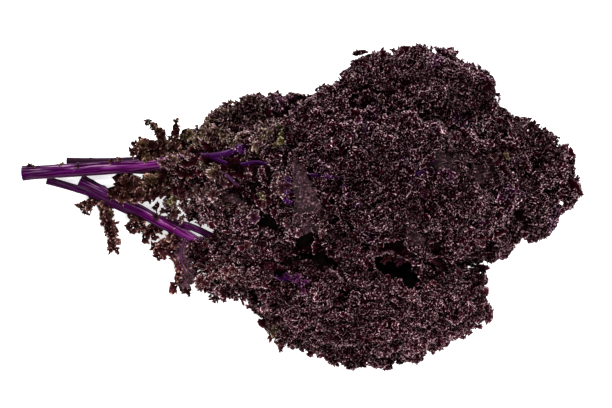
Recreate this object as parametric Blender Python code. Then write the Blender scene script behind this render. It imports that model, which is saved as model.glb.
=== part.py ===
"""A bunch of purple curly kale, as picked and laid down on a flat surface.

Seven leaves are gathered by their stalks. Each has a stalk that runs on into its blade as
the midrib, and a curly blade round it; some stalks carry small leaflets of their own below
the blade. The curls fill a rounded space, so each blade is a closed lobed solid of that
space, bored for its own midrib and hollowed where a neighbouring leaf presses into it.

+X runs from the cut ends of the stalks to the leaf tips, and +Z is up. The origin is under
the middle of the bunch, on the surface that it lies on. Lengths are written in
millimetres, and MM turns them into Blender's metres.
"""

import math

import bmesh
import bpy
from mathutils import Vector

MM = 0.001
GAP = 0.6 * MM  # left between pieces that press on each other
RINGS = 14  # sections along a blade
SPOKES = 14  # points round a blade's section
STALK_STEP = 12.0 * MM  # between a stalk's sections
STALK_SIDES = 2  # bevel resolution: eight sides
FLOOR_DEPTH = 60.0 * MM  # of the block that flattens what rests on the surface
BLADE_KEYS = ("half_width", "half_height", "base_share", "fullest", "lobes")
LEAFLET_RINGS = 8
LEAFLET_SPOKES = 8

STALK_COLOUR = (0.17, 0.02, 0.20)
BLADE_COLOUR = (0.045, 0.018, 0.028)
LEAFLET_COLOUR = (0.07, 0.035, 0.03)

# Each leaf: the stalk's route from its cut end to where the midrib fades out, its radius at
# the cut end and at that end, and the blade's axis with its half width and half height.
# base_share is how wide the blade starts, as a share of its full width, and fullest is how
# far along it is at its widest. Each leaf gives way to the ones above it in this table.
LEAVES = {
    "inner_leaf": {
        "stalk": [(-150, 30, 18), (-115, 31, 22), (-88, 28, 32), (-61, 20, 46), (-30, -4, 58),
                  (-4, -17, 62)],
        "radii": (3.1, 1.6),
        "axis": [(-104, 18, 30), (-66, 10, 46), (-22, -10, 60), (20, -25, 64)],
        "half_width": 34, "half_height": 17, "base_share": 0.45, "fullest": 0.55, "lobes": 3,
    },
    "centre_leaf": {
        "stalk": [(-223, 27, 17), (-176, 30, 25), (-129, 33, 35), (-73, 37, 51),
                  (0, 26, 69), (70, 18, 81), (118, 26, 84)],
        "radii": (5.5, 2.2),
        "axis": [(-108, 35, 42), (-40, 30, 64), (20, 20, 80), (90, 11, 88), (168, 14, 79)],
        "half_width": 61, "half_height": 29, "base_share": 0.22, "fullest": 0.62, "lobes": 6,
    },
    "lower_leaf": {
        "stalk": [(-208, 21.5, 5), (-184, 14.5, 5), (-168, 9, 5), (-141, -4, 5), (-118, -9.5, 6),
                  (-104, -13, 8.5), (-84, -19, 15), (-40, -40, 30), (0, -58, 42),
                  (50, -72, 47), (90, -77, 45)],
        "radii": (3.1, 2.0),
        "axis": [(-78, -24, 26), (-20, -50, 44), (60, -70, 47), (152, -78, 38)],
        "half_width": 46, "half_height": 33, "base_share": 0.40, "fullest": 0.55, "lobes": 5,
    },
    "upper_leaf": {
        "stalk": [(-191, 36.6, 12), (-153, 36.6, 13), (-113, 39, 17), (-77, 41, 25),
                  (-48, 51, 31), (20, 68, 35), (70, 80, 35), (108, 87, 33)],
        "radii": (2.9, 1.9),
        "axis": [(-56, 49, 28), (20, 66, 34), (90, 84, 33), (160, 91, 28)],
        "half_width": 46, "half_height": 34, "base_share": 0.40, "fullest": 0.55, "lobes": 4,
    },
    "right_leaf": {
        "stalk": [(-200, 30, 6), (-140, 31, 7), (-90, 26, 12), (-20, 14, 23),
                  (60, 5, 30), (130, 9, 32), (168, 15, 32)],
        "radii": (4.3, 1.8),
        "axis": [(-10, 14, 23), (70, 6, 31), (150, 15, 33), (225, 25, 31)],
        "half_width": 60, "half_height": 34, "base_share": 0.42, "fullest": 0.50, "lobes": 4,
    },
    "side_leaf": {
        "stalk": [(-133, 40, 6), (-112, 45, 8), (-90, 52, 12), (-50, 63, 18), (-10, 73, 21),
                  (12, 77, 22)],
        "radii": (3.0, 1.6),
        "axis": [(-100, 48, 14), (-45, 65, 22), (42, 80, 22)],
        "half_width": 27, "half_height": 25, "base_share": 0.55, "fullest": 0.50, "lobes": 3,
    },
    "bottom_leaf": {
        "stalk": [(-180, 21, 12), (-147, 4, 13.5), (-132, -3, 14.5), (-118, -11, 15.5),
                  (-104, -18, 15.5), (-83, -30, 15), (-45, -58, 17), (0, -83, 18), (35, -95, 18)],
        "radii": (5.1, 1.8),
        "axis": [(-94, -28, 15), (-35, -68, 17), (25, -97, 18), (124, -103, 18)],
        "half_width": 32, "half_height": 20, "base_share": 0.55, "fullest": 0.45, "lobes": 4,
    },
}

# Small leaflets on the bare stalks. Each axis starts inside its stalk, which is then cut
# out of it; size is the half width and the half height.
LEAFLETS = {
    "centre_leaf_leaflet_1": {"axis": [(-114, 34, 38), (-122, 46, 42), (-134, 49, 40)], "size": (9, 5)},
    "centre_leaf_leaflet_2": {"axis": [(-109, 35, 39), (-109, 52, 43), (-113, 61, 42), (-123, 69, 38)],
                              "size": (6, 4)},
    "centre_leaf_leaflet_3": {"axis": [(-101, 35, 41), (-100, 52, 43), (-101, 70, 38)], "size": (5, 4)},
    "centre_leaf_leaflet_4": {"axis": [(-110, 33, 37), (-117, 19, 34), (-134, 15, 30), (-149, 20, 27)],
                              "size": (10, 6)},
    "lower_leaf_leaflet_1": {"axis": [(-162, 7, 5), (-160, -6, 6), (-154, -20, 6), (-153, -35, 5)],
                             "size": (7, 4)},
    "lower_leaf_leaflet_2": {"axis": [(-168, 9, 5), (-173, 1, 6), (-179, -3, 5)], "size": (5, 4)},
    "bottom_leaf_leaflet_1": {"axis": [(-131, -4, 14.5), (-135, -12, 13), (-140, -18, 9)], "size": (6, 4)},
    "bottom_leaf_leaflet_2": {"axis": [(-115, -13, 15.5), (-121, -21, 13), (-130, -24, 9)], "size": (5, 4)},
    "bottom_leaf_leaflet_3": {"axis": [(-102, -19, 15.5), (-108, -31, 14), (-121, -37, 10)], "size": (8, 5)},
    "bottom_leaf_leaflet_4": {"axis": [(-92, -25, 15), (-97, -38, 13), (-93, -54, 11), (-99, -69, 8)],
                              "size": (6, 4)},
}


def clear_scene():
    for old in list(bpy.data.objects):
        bpy.data.objects.remove(old)


def new_collection(name):
    made = bpy.data.collections.new(name)
    bpy.context.scene.collection.children.link(made)
    return made


def material(name, colour, roughness):
    made = bpy.data.materials.new(name)
    made.use_nodes = True
    shader = made.node_tree.nodes["Principled BSDF"]
    shader.inputs["Base Color"].default_value = (*colour, 1.0)
    shader.inputs["Roughness"].default_value = roughness
    shader.inputs["Metallic"].default_value = 0.0
    return made


def route_points(route, count):
    """count points, evenly spread in parameter, on a Catmull-Rom curve through the route."""
    knots = [Vector(p) * MM for p in route]
    knots = [2 * knots[0] - knots[1], *knots, 2 * knots[-1] - knots[-2]]
    spans = len(knots) - 3
    points = []
    for i in range(count):
        at = spans * i / (count - 1)
        k = min(int(at), spans - 1)
        t = at - k
        a, b, c, d = knots[k:k + 4]
        points.append(0.5 * (2 * b + (c - a) * t + (2 * a - 5 * b + 4 * c - d) * t ** 2
                             + (3 * b - a - 3 * c + d) * t ** 3))
    return points


def route_length(route):
    return sum((Vector(b) - Vector(a)).length for a, b in zip(route, route[1:])) * MM


def mesh_object(name, mesh, home):
    made = bpy.data.objects.new(name, mesh)
    home.objects.link(made)
    return made


def face_outward(shape):
    bmesh.ops.recalc_face_normals(shape, faces=shape.faces)
    if shape.calc_volume(signed=True) < 0:
        bmesh.ops.reverse_faces(shape, faces=shape.faces)


def stalk(name, route, radii, home, grow=0.0):
    """A tapered tube along the route. It keeps most of its girth until the blade begins."""
    count = max(8, round(route_length(route) / STALK_STEP))
    points = route_points(route, count)
    curve = bpy.data.curves.new(name, "CURVE")
    curve.dimensions = "3D"
    curve.bevel_depth = 1.0
    curve.bevel_resolution = STALK_SIDES
    curve.use_fill_caps = True
    spline = curve.splines.new("POLY")
    spline.points.add(count - 1)
    thick, thin = (r * MM for r in radii)
    for i, (point, at) in enumerate(zip(spline.points, points)):
        point.co = (*at, 1.0)
        point.radius = thick + (thin - thick) * (i / (count - 1)) ** 1.6 + grow
    drawn = bpy.data.objects.new(name + "_curve", curve)
    home.objects.link(drawn)
    bpy.context.view_layer.update()
    graph = bpy.context.evaluated_depsgraph_get()
    mesh = bpy.data.meshes.new_from_object(drawn.evaluated_get(graph))
    bpy.data.objects.remove(drawn)
    shape = bmesh.new()
    shape.from_mesh(mesh)
    bmesh.ops.remove_doubles(shape, verts=shape.verts, dist=0.01 * MM)
    face_outward(shape)
    shape.to_mesh(mesh)
    shape.free()
    mesh.name = name
    return mesh_object(name, mesh, home)


def lobed_body(name, axis, half_width, half_height, home, grow=0.0, base_share=0.35,
               fullest=0.55, lobes=2, rings=RINGS, spokes=SPOKES):
    """A sphere drawn out along the axis: narrow where the blade begins, full and scalloped
    further out, rounded at the tip. Its poles become the two ends."""
    samples = 60
    line = route_points(axis, samples + 1)
    shape = bmesh.new()
    bmesh.ops.create_uvsphere(shape, u_segments=spokes, v_segments=rings, radius=1.0)
    for vert in shape.verts:
        height = max(-1.0, min(1.0, vert.co.z))
        along = 0.5 + 0.5 * height
        k = min(int(along * samples), samples - 1)
        centre = line[k].lerp(line[k + 1], along * samples - k)
        ahead = (line[k + 1] - line[k]).normalized()
        side = ahead.cross(Vector((0, 0, 1))).normalized()
        up = side.cross(ahead)
        turn = math.atan2(vert.co.y, vert.co.x)
        rounding = (1 - abs(height) ** 2.6) ** (1 / 2.6)
        ease = min(1.0, along / fullest)
        full = base_share + (1 - base_share) * ease * ease * (3 - 2 * ease)
        scallop = 1 + 0.07 * math.cos(2 * math.pi * lobes * along) * abs(math.cos(turn))
        spread = rounding * full * scallop
        vert.co = (centre + side * math.cos(turn) * (spread * half_width * MM + grow * (rounding > 0))
                   + up * math.sin(turn) * (spread * half_height * MM + grow * (rounding > 0))
                   + ahead * grow * height)
    bmesh.ops.triangulate(shape, faces=shape.faces, quad_method="FIXED")
    face_outward(shape)
    mesh = bpy.data.meshes.new(name)
    shape.to_mesh(mesh)
    shape.free()
    return mesh_object(name, mesh, home)


def floor_block(home):
    """The half space below the surface, which flattens the leaves that rest on it."""
    shape = bmesh.new()
    bmesh.ops.create_cube(shape, size=1.0)
    for vert in shape.verts:
        vert.co = (vert.co.x * 1.2, vert.co.y * 1.2, (vert.co.z - 0.5) * FLOOR_DEPTH)
    mesh = bpy.data.meshes.new("floor_block")
    shape.to_mesh(mesh)
    shape.free()
    return mesh_object("floor_block", mesh, home)


def world_box(thing):
    points = [vert.co for vert in thing.data.vertices]
    low = Vector(min(p[k] for p in points) for k in range(3))
    high = Vector(max(p[k] for p in points) for k in range(3))
    return low, high


def near(a, b):
    (a_low, a_high), (b_low, b_high) = world_box(a), world_box(b)
    return all(a_low[k] < b_high[k] and b_low[k] < a_high[k] for k in range(3))


def cut(piece, cutters):
    """Takes the cutters out of the piece and keeps its largest body."""
    for cutter in cutters:
        if near(piece, cutter):
            bore = piece.modifiers.new("clear_" + cutter.name, "BOOLEAN")
            bore.operation = "DIFFERENCE"
            bore.object = cutter
    bpy.context.view_layer.update()
    graph = bpy.context.evaluated_depsgraph_get()
    mesh = bpy.data.meshes.new_from_object(piece.evaluated_get(graph))
    piece.modifiers.clear()
    piece.data = mesh
    keep_largest_body(mesh)


def keep_largest_body(mesh):
    shape = bmesh.new()
    shape.from_mesh(mesh)
    bmesh.ops.remove_doubles(shape, verts=shape.verts, dist=0.02 * MM)
    bodies, seen = [], set()
    for start in shape.verts:
        if start in seen:
            continue
        body, edge = [], [start]
        seen.add(start)
        while edge:
            vert = edge.pop()
            body.append(vert)
            for link in vert.link_edges:
                other = link.other_vert(vert)
                if other not in seen:
                    seen.add(other)
                    edge.append(other)
        bodies.append(body)
    bodies.sort(key=len)
    for crumb in bodies[:-1]:
        bmesh.ops.delete(shape, geom=crumb, context="VERTS")
    shape.to_mesh(mesh)
    shape.free()


def finish(piece, look):
    piece.data.materials.clear()
    piece.data.materials.append(look)
    piece.data.shade_smooth()
    piece.data.set_sharp_from_angle(angle=math.radians(50))


def centre_over_origin(pieces):
    """Moves every piece by the same step, so that the bunch's box is centred on the origin."""
    boxes = [world_box(piece) for piece in pieces]
    low = Vector(min(box[0][k] for box in boxes) for k in range(3))
    high = Vector(max(box[1][k] for box in boxes) for k in range(3))
    middle = (low + high) / 2
    for piece in pieces:
        for vert in piece.data.vertices:
            vert.co -= Vector((middle.x, middle.y, low.z))


def main():
    clear_scene()
    bunch = new_collection("purple_kale_bunch")
    helpers = new_collection("cutters")
    stalk_look = material("stalk", STALK_COLOUR, 0.35)
    blade_look = material("blade", BLADE_COLOUR, 0.5)
    leaflet_look = material("leaflet", LEAFLET_COLOUR, 0.5)

    floor = floor_block(helpers)
    stalks, stalk_cutters = [], []
    for leaf, facts in LEAVES.items():
        made = stalk(leaf + "_stalk", facts["stalk"], facts["radii"], bunch)
        stalks.append(made)
        stalk_cutters.append(stalk(leaf + "_bore", facts["stalk"], facts["radii"], helpers, GAP))

    blades, blade_cutters = [], []
    for leaf, facts in LEAVES.items():
        shape = {k: facts[k] for k in BLADE_KEYS}
        made = lobed_body(leaf + "_blade", facts["axis"], home=bunch, **shape)
        cut(made, [floor, *stalk_cutters, *blade_cutters])
        blades.append(made)
        blade_cutters.append(
            lobed_body(leaf + "_room", facts["axis"], home=helpers, grow=GAP, **shape))

    leaflets, leaflet_cutters = [], []
    for name, facts in LEAFLETS.items():
        width, height = facts["size"]
        shape = {"half_width": width, "half_height": height, "rings": LEAFLET_RINGS,
                 "spokes": LEAFLET_SPOKES}
        made = lobed_body(name, facts["axis"], home=bunch, **shape)
        cut(made, [floor, *stalk_cutters, *blade_cutters, *leaflet_cutters])
        leaflets.append(made)
        leaflet_cutters.append(
            lobed_body(name + "_room", facts["axis"], home=helpers, grow=GAP, **shape))

    for helper in helpers.objects:
        helper.hide_render = True
        helper.display_type = "WIRE"
    for pieces, look in ((stalks, stalk_look), (blades, blade_look), (leaflets, leaflet_look)):
        for piece in pieces:
            finish(piece, look)
    centre_over_origin([*stalks, *blades, *leaflets])


main()
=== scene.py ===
# %% [markdown]
# # A bunch of purple curly kale
# The bunch lies on its side on a pale table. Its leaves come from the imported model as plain
# closed solids, one for each blade, stalk and leaflet. Here each blade becomes what it is on
# the plant: a thin sheet whose margin has grown so much longer than its middle that it folds
# into curls, over and over, until the curls fill the space that the solid holds.

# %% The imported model
import math

import bpy
import numpy as np
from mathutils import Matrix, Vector
from mathutils.bvhtree import BVHTree


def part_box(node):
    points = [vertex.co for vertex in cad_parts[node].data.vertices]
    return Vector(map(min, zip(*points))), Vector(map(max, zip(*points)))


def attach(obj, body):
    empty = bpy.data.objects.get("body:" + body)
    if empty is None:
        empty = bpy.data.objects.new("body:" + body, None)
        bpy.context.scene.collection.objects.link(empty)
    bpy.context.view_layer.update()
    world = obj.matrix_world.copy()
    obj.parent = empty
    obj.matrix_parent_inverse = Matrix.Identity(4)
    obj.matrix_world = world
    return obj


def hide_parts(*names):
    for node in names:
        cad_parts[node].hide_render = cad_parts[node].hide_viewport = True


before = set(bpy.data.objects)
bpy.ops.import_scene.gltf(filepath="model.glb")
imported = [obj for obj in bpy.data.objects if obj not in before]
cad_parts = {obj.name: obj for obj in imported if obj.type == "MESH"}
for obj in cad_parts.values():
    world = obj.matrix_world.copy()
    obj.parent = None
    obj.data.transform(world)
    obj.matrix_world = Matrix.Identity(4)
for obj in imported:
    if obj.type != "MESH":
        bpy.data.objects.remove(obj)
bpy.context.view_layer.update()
MM = 0.001
scene = bpy.context.scene

# %% [markdown]
# ## Looking straight down
# The bunch is seen from above, and a long lens far away keeps the near curls from growing
# larger than the far ones, as they would under a phone held close. The picture is wider
# than it is high, so the bunch's length runs along it.

# %% Camera
PICTURE_WIDTH = 0.4896  # metres of table across the picture
PICTURE_MIDDLE = (0.0036, 0.0020)  # the point of the table under the lens
FOCUS_HEIGHT = 0.040  # the height at which that width is measured
LENS = 120.0
SENSOR = 36.0
camera_data = bpy.data.cameras.new("overhead_camera")
camera_data.lens = LENS
camera_data.sensor_width = SENSOR
camera_data.clip_end = 20.0
camera = bpy.data.objects.new("overhead_camera", camera_data)
scene.collection.objects.link(camera)
camera.location = (*PICTURE_MIDDLE, FOCUS_HEIGHT + PICTURE_WIDTH * LENS / SENSOR)
scene.camera = camera
print("camera height:", round(camera.location.z, 3))

# %% [markdown]
# ## Shader arithmetic
# A material is a sum of masks and colours. Written as nodes by hand it takes a page; with a
# small class round a socket it reads as a formula. Plain numbers go through Math nodes, and
# colours through Mix nodes, because a Math node would turn a colour grey.


# %% The socket class
class Wire:
    """One output socket, with arithmetic that adds the node for it."""

    def __init__(self, tree, socket=None):
        self.tree = tree
        self.socket = socket

    def make(self, kind, settings=None, sockets=None, output=0):
        """Adds a node of that kind: its settings first, then values or links."""
        node = self.tree.nodes.new(kind)
        for name, value in (settings or {}).items():
            setattr(node, name, value)
        for name, value in (sockets or {}).items():
            if isinstance(value, Wire):
                self.tree.links.new(value.socket, node.inputs[name])
            else:
                node.inputs[name].default_value = value
        return Wire(self.tree, node.outputs[output])

    def math(self, operation, a, b=0.0):
        return self.make("ShaderNodeMath", {"operation": operation}, {0: a, 1: b})

    def __add__(self, other):
        return self.math("ADD", self, other)

    def __radd__(self, other):
        return self.math("ADD", other, self)

    def __sub__(self, other):
        return self.math("SUBTRACT", self, other)

    def __rsub__(self, other):
        return self.math("SUBTRACT", other, self)

    def __mul__(self, other):
        return self.math("MULTIPLY", self, other)

    def __rmul__(self, other):
        return self.math("MULTIPLY", other, self)

    def clamp(self):
        return self.make("ShaderNodeClamp", None, {0: self})

    def rise(self, start, end):
        """0 below start, 1 above end, eased between them."""
        settings = {"interpolation_type": "SMOOTHSTEP"}
        values = {"Value": self, "From Min": start, "From Max": end}
        return self.make("ShaderNodeMapRange", settings, values)

    def blend(self, low, high):
        """The colour low where this is 0, and high where it is 1."""
        settings = {"data_type": "RGBA"}
        return self.make("ShaderNodeMix", settings, {0: self, 6: low, 7: high}, 2)

    def place(self):
        """The point being shaded, in metres."""
        return self.make("ShaderNodeTexCoord", None, None, 3)

    def axis(self, number):
        """One coordinate of a point: 0, 1 or 2."""
        return self.make("ShaderNodeSeparateXYZ", None, {0: self}, number)

    def noise(self, size, detail=2.0, lift=0.5, at=None):
        """Cloudy noise from 0 to 1 whose blotches are about size metres across."""
        values = {"Vector": at or self.place(), "Scale": 1.0 / size, "Detail": detail,
                  "Roughness": lift}
        return self.make("ShaderNodeTexNoise", None, values)

    def attribute(self, name, output=2):
        """What the mesh says at this point: a number (output 2) or a place (output 1)."""
        return self.make("ShaderNodeAttribute", {"attribute_name": name}, None, output)


def new_material(name):
    """A material, its shader node, and a Wire to start formulas from."""
    material = bpy.data.materials.new(name)
    material.use_nodes = True
    shader = material.node_tree.nodes["Principled BSDF"]
    return material, shader, Wire(material.node_tree)


def feed(shader, socket, value):
    shader.id_data.links.new(value.socket, shader.inputs[socket])


def rgb(red, green, blue):
    return (red, green, blue, 1.0)


def dress(shader, w, colour, roughness, shine, relief=None, strength=0.0, depth=0.0):
    """Feeds a leaf's or a stalk's shader; relief is a height map, depth metres deep."""
    feed(shader, "Base Color", colour)
    feed(shader, "Roughness", roughness)
    shader.inputs["Specular IOR Level"].default_value = shine
    if relief is not None:
        values = {"Strength": strength, "Distance": depth, "Height": relief}
        feed(shader, "Normal", w.make("ShaderNodeBump", None, values))


print("shader arithmetic ready")

# %% [markdown]
# ## The light and the table
# Produce is often pictured on a light table, so that no shadow falls beside it. A wide lamp
# overhead and an even pale surround give the curls soft shade in their depths. The table
# glows a little itself, which keeps it evenly white right up to the leaves.

# %% Table
TABLE_SIDE = 6.0
bpy.ops.mesh.primitive_plane_add(size=TABLE_SIDE, location=(0, 0, -0.0005))
table = bpy.context.object
table.name = "table"
table_finish, table_shader, table_wire = new_material("table_white")
grain = table_wire.noise(0.30)
feed(table_shader, "Base Color", grain.blend(rgb(0.90, 0.90, 0.90), rgb(0.93, 0.93, 0.93)))
feed(table_shader, "Emission Color", grain.blend(rgb(0.99, 0.99, 0.99), rgb(1.0, 1.0, 1.0)))
table_shader.inputs["Emission Strength"].default_value = 0.70
table_shader.inputs["Roughness"].default_value = 0.9
table.data.materials.append(table_finish)
print("table:", TABLE_SIDE, "m")


# %% Lamps
def lamp(name, place, size, power):
    """A round lamp of that width, aimed at the middle of the bunch."""
    data = bpy.data.lights.new(name, "AREA")
    data.shape = "DISK"
    data.size = size
    data.energy = power
    made = bpy.data.objects.new(name, data)
    scene.collection.objects.link(made)
    made.location = place
    made.rotation_euler = (-Vector(place)).to_track_quat("-Z", "Y").to_euler()


lamp("key_lamp", (-0.2, 0.8, 1.35), 0.5, 28.0)
lamp("fill_lamp", (0.5, -0.9, 1.2), 0.8, 24.0)
surround = bpy.data.worlds.new("surround")
surround.use_nodes = True
scene.world = surround
sky = surround.node_tree.nodes["Background"]
sky.inputs["Color"].default_value = rgb(1.0, 1.0, 1.0)
sky.inputs["Strength"].default_value = 0.33
scene.view_settings.view_transform = "Standard"

# %% [markdown]
# ## How a curly margin grows
# A kale blade curls because its margin keeps growing after its middle has stopped. The
# same rule makes the shape here: a closed line starts as a small ring, every point keeps
# its neighbours at an even distance, points that come near each other push apart, and new
# points keep being added while a wall round it widens slowly. The line has to fold, and its
# folds fold again. Each stage of its growth is one level of the leaf, from the narrow base
# to the margin, so the stages joined one above another are the curled sheet. A sum of sine
# waves would be quicker, but its folds cross each other and bunch up, and these don't.

# %% Growing one margin
CURL_ROOM = 9.5  # radius of the wall at the end, in millimetres
CURL_GAP = 2.7  # how near two folds may come
POINT_STEP = 0.85  # between neighbouring points of the line
LEVELS = 6  # stages kept, from base to margin
GROWTH_STEPS = 190
START_POINTS = 18
MOST_POINTS = 250
SMOOTHING = 0.30  # how hard a point is pulled to the middle of its neighbours
SPACING_PULL = 0.22
FOLD_PUSH = 0.38
WALL_PUSH = 0.5
LONGEST_MOVE = 0.5  # of a point in one step
TREMBLE = 0.03  # a small random move at every step, so that no fold stays even
GROWTH = 0.035  # the chance that a point gets a new neighbour in one step


def pushes(line, bound):
    """The force on each point: even spacing, smoothness, distance to other folds, the wall."""
    before, after = np.roll(line, 1, 0), np.roll(line, -1, 0)
    force = SMOOTHING * ((before + after) / 2 - line)
    for other in (before, after):
        toward = other - line
        length = np.linalg.norm(toward, axis=1, keepdims=True) + 1e-9
        force += SPACING_PULL * (length - POINT_STEP) * toward / length
    apart = line[:, None] - line[None]
    far = np.sqrt((apart ** 2).sum(2))
    place = np.arange(len(line))
    steps = np.abs(place[:, None] - place[None])
    steps = np.minimum(steps, len(line) - steps)
    push = np.where((far < CURL_GAP) & (steps > 2), (1 - far / CURL_GAP) / (far + 1e-6), 0.0)
    force += FOLD_PUSH * (apart * push[..., None]).sum(1)
    out = np.linalg.norm(line, axis=1, keepdims=True) + 1e-9
    return force - line / out * np.maximum(out - bound, 0) * WALL_PUSH


def grown_line(seed):
    """[(share of the way round, x and y)] of every point, at each kept stage."""
    rng = np.random.default_rng(seed)
    turn = np.linspace(0, 2 * np.pi, START_POINTS, endpoint=False)
    uneven = 1 + 0.15 * rng.standard_normal(len(turn))
    line = np.stack([np.cos(turn), np.sin(turn)], 1) * (0.2 * CURL_ROOM * uneven)[:, None]
    share = np.arange(len(turn)) / len(turn)
    kept = []
    marks = set(np.linspace(0, GROWTH_STEPS - 1, LEVELS).round().astype(int))
    for step in range(GROWTH_STEPS):
        age = step / (GROWTH_STEPS - 1)
        bound = CURL_ROOM * (0.23 + 0.77 * age ** 0.8)
        for _ in range(2):
            line = line + np.clip(pushes(line, bound), -LONGEST_MOVE, LONGEST_MOVE)
        line = line + TREMBLE * rng.standard_normal(line.shape)
        if step in marks:
            kept.append((share.copy(), line.copy()))
        length = np.linalg.norm(np.roll(line, -1, 0) - line, axis=1)
        young = rng.random(len(line)) < GROWTH * (len(line) < MOST_POINTS)
        split = (length > 1.5 * POINT_STEP) | young
        after = np.roll(share, -1)
        after[-1] = 1.0
        spots = np.nonzero(split)[0] + 1
        middles = ((line + np.roll(line, -1, 0)) / 2)[split]
        line = np.insert(line, spots, middles, axis=0)
        share = np.insert(share, spots, ((share + after) / 2)[split])
    return kept


# %% [markdown]
# ## From lines to a curled sheet
# Every stage is read at the same shares of the way round, so the stages make one grid of
# points. The margin of a real leaf also ends in small uneven teeth, one or two millimetres
# long, that lean to either side. The growth leaves them out, so they are added here, each
# with a length, a width and a lean of its own, and they fade out a little below the margin.

# %% A curled sheet as a grid
AROUND = 220  # points round the margin
CURL_DEPTH = 12.0
TOOTH_LENGTH = (0.3, 2.0)
TOOTH_WIDTH = (1.3, 3.0)
MARGIN_FLARE = 0.12  # how much wider the margin spreads than the line that it grew as
OUTER_DROP = 4.5  # how far a curl's outer folds hang below its middle
UNEVENNESS = 0.28  # of the margin's height


def read_round(share, values, at):
    """values, given at the shares, read at other shares of a closed line."""
    share = np.concatenate([share - 1, share, share + 1])
    values = np.concatenate([values, values, values])
    return np.stack([np.interp(at, share, values[:, k]) for k in range(values.shape[1])], 1)


def teeth_along(run, rng, length=TOOTH_LENGTH, width=TOOTH_WIDTH):
    """(height, lean) of the teeth at every distance in run, in millimetres."""
    edges = [0.0]
    while edges[-1] < run[-1]:
        edges.append(edges[-1] + rng.uniform(*width))
    tooth = np.searchsorted(edges, run, side="right") - 1
    edges = np.array(edges + [edges[-1] + width[1]])
    within = (run - edges[tooth]) / (edges[tooth + 1] - edges[tooth])
    shape = 1 - np.abs(2 * within - 1)
    tall = rng.uniform(*length, len(edges))[tooth]
    lean = rng.normal(0, 1, len(edges))[tooth]
    return tall * shape, lean * shape


def curled_sheet(seed):
    """(levels, around, 3) in millimetres: base at the bottom, margin at height 0."""
    stages = grown_line(seed)
    share, line = stages[-1]
    steps = np.linalg.norm(np.roll(line, -1, 0) - line, axis=1)
    along = np.concatenate([[0], np.cumsum(steps)])
    run = np.linspace(0, along[-1], AROUND, endpoint=False)
    shares = np.interp(run, along, np.concatenate([share, [1.0]]))
    rng = np.random.default_rng(seed + 100)
    tall, lean = teeth_along(run, rng)
    drift = np.convolve(rng.standard_normal(AROUND * 3), np.hanning(25), "same")[AROUND:2 * AROUND]
    sheet = np.zeros((LEVELS, AROUND, 3))
    for level, (at, points) in enumerate(stages):
        flat = read_round(at, points, shares)
        for _ in range(2):
            flat = 0.5 * flat + 0.25 * (np.roll(flat, 1, 0) + np.roll(flat, -1, 0))
        up = level / (LEVELS - 1)
        run_on = np.roll(flat, -1, 0) - np.roll(flat, 1, 0)
        run_on /= np.linalg.norm(run_on, axis=1, keepdims=True) + 1e-9
        across = np.stack([-run_on[:, 1], run_on[:, 0]], 1)
        fine = max(0.0, (up - 0.6) / 0.4) ** 1.6
        sheet[level, :, :2] = flat * (1 + MARGIN_FLARE * up ** 3) + across * (fine * lean)[:, None]
        outer = np.linalg.norm(flat, axis=1) / CURL_ROOM
        sheet[level, :, 2] = CURL_DEPTH * (up ** 0.85 - 1) - OUTER_DROP * outer ** 2 * up
        sheet[level, :, 2] += fine * tall + UNEVENNESS * up * drift
    return sheet


CURL_KINDS = 9
UPPER_LEVELS = [1, 3, 4, 5]  # the levels that a curl keeps: its narrow base is never seen
curl_kinds = [curled_sheet(seed + 1)[UPPER_LEVELS] for seed in range(CURL_KINDS)]
small_kinds = [kind[:, ::2] for kind in curl_kinds]
print("curled sheets:", len(curl_kinds), "of", curl_kinds[0].shape, "and", small_kinds[0].shape)

# %% [markdown]
# ## Toothed leaf tips
# Between the tight curls and all round the outline stand flatter tips of the blade: small
# stars of pointed lobes, each lobe with teeth of its own, cupped in the middle and waved
# towards the margin. A star is quickest as a round sheet whose edge is drawn out into the
# lobes, the more so the nearer the margin.

# %% A toothed tip as a grid
TIP_RADIUS = 6.0
TIP_RINGS = 4
TIP_AROUND = 90
TIP_KINDS = 12  # of each sort: starry ones, and bold ones with few lobes


def zigzag(turns):
    """0 at whole numbers, 1 halfway between them, straight in between."""
    return 1 - np.abs(2 * (turns % 1) - 1)


def leaf_tip(seed, fewest=4, most=7, teeth=0.15):
    """(rings, around, 3) in millimetres, from the middle of the star to its margin."""
    rng = np.random.default_rng(seed)
    turn = np.linspace(0, 2 * np.pi, TIP_AROUND, endpoint=False)
    phase = rng.uniform(0, 6.28)
    lobes = rng.integers(fewest, most + 1)
    uneven = (turn + 0.3 * np.sin(2 * turn + phase)) / (2 * np.pi)
    size = rng.uniform(0.55, 1.15, lobes)[(uneven * lobes).astype(int) % lobes]
    outline = 0.42 + 0.50 * size * zigzag(uneven * lobes) ** 1.2
    outline = outline + teeth * zigzag(3 * uneven * lobes + 0.5)
    outline = outline * (1 + 0.25 * np.cos(turn - phase))
    reach = np.linspace(0.08, 1.0, TIP_RINGS)[:, None]
    radius = TIP_RADIUS * reach * (0.65 + (outline - 0.65) * reach ** 1.5)
    wave = 0.20 * np.sin(lobes * 2 * np.pi * uneven + phase) + 0.10 * np.sin(9 * turn + 2 * phase)
    cup = rng.uniform(-0.35, 0.30)
    height = TIP_RADIUS * (cup * reach ** 2 + wave * reach ** 2.2)
    return np.stack([radius * np.cos(turn), radius * np.sin(turn), height], -1)


tip_kinds = [leaf_tip(500 + seed) for seed in range(TIP_KINDS)]
bold_kinds = [leaf_tip(600 + seed, 3, 4, 0.05) for seed in range(TIP_KINDS)]
print("leaf tips:", len(tip_kinds), "of", tip_kinds[0].shape)

# %% [markdown]
# ## The solids that the leaves fill
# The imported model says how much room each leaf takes. Its triangles are kept as arrays, to
# spread spots over them, and as search trees, which answer how high a leaf stands over a
# point of the table and how near another leaf is.

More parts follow.
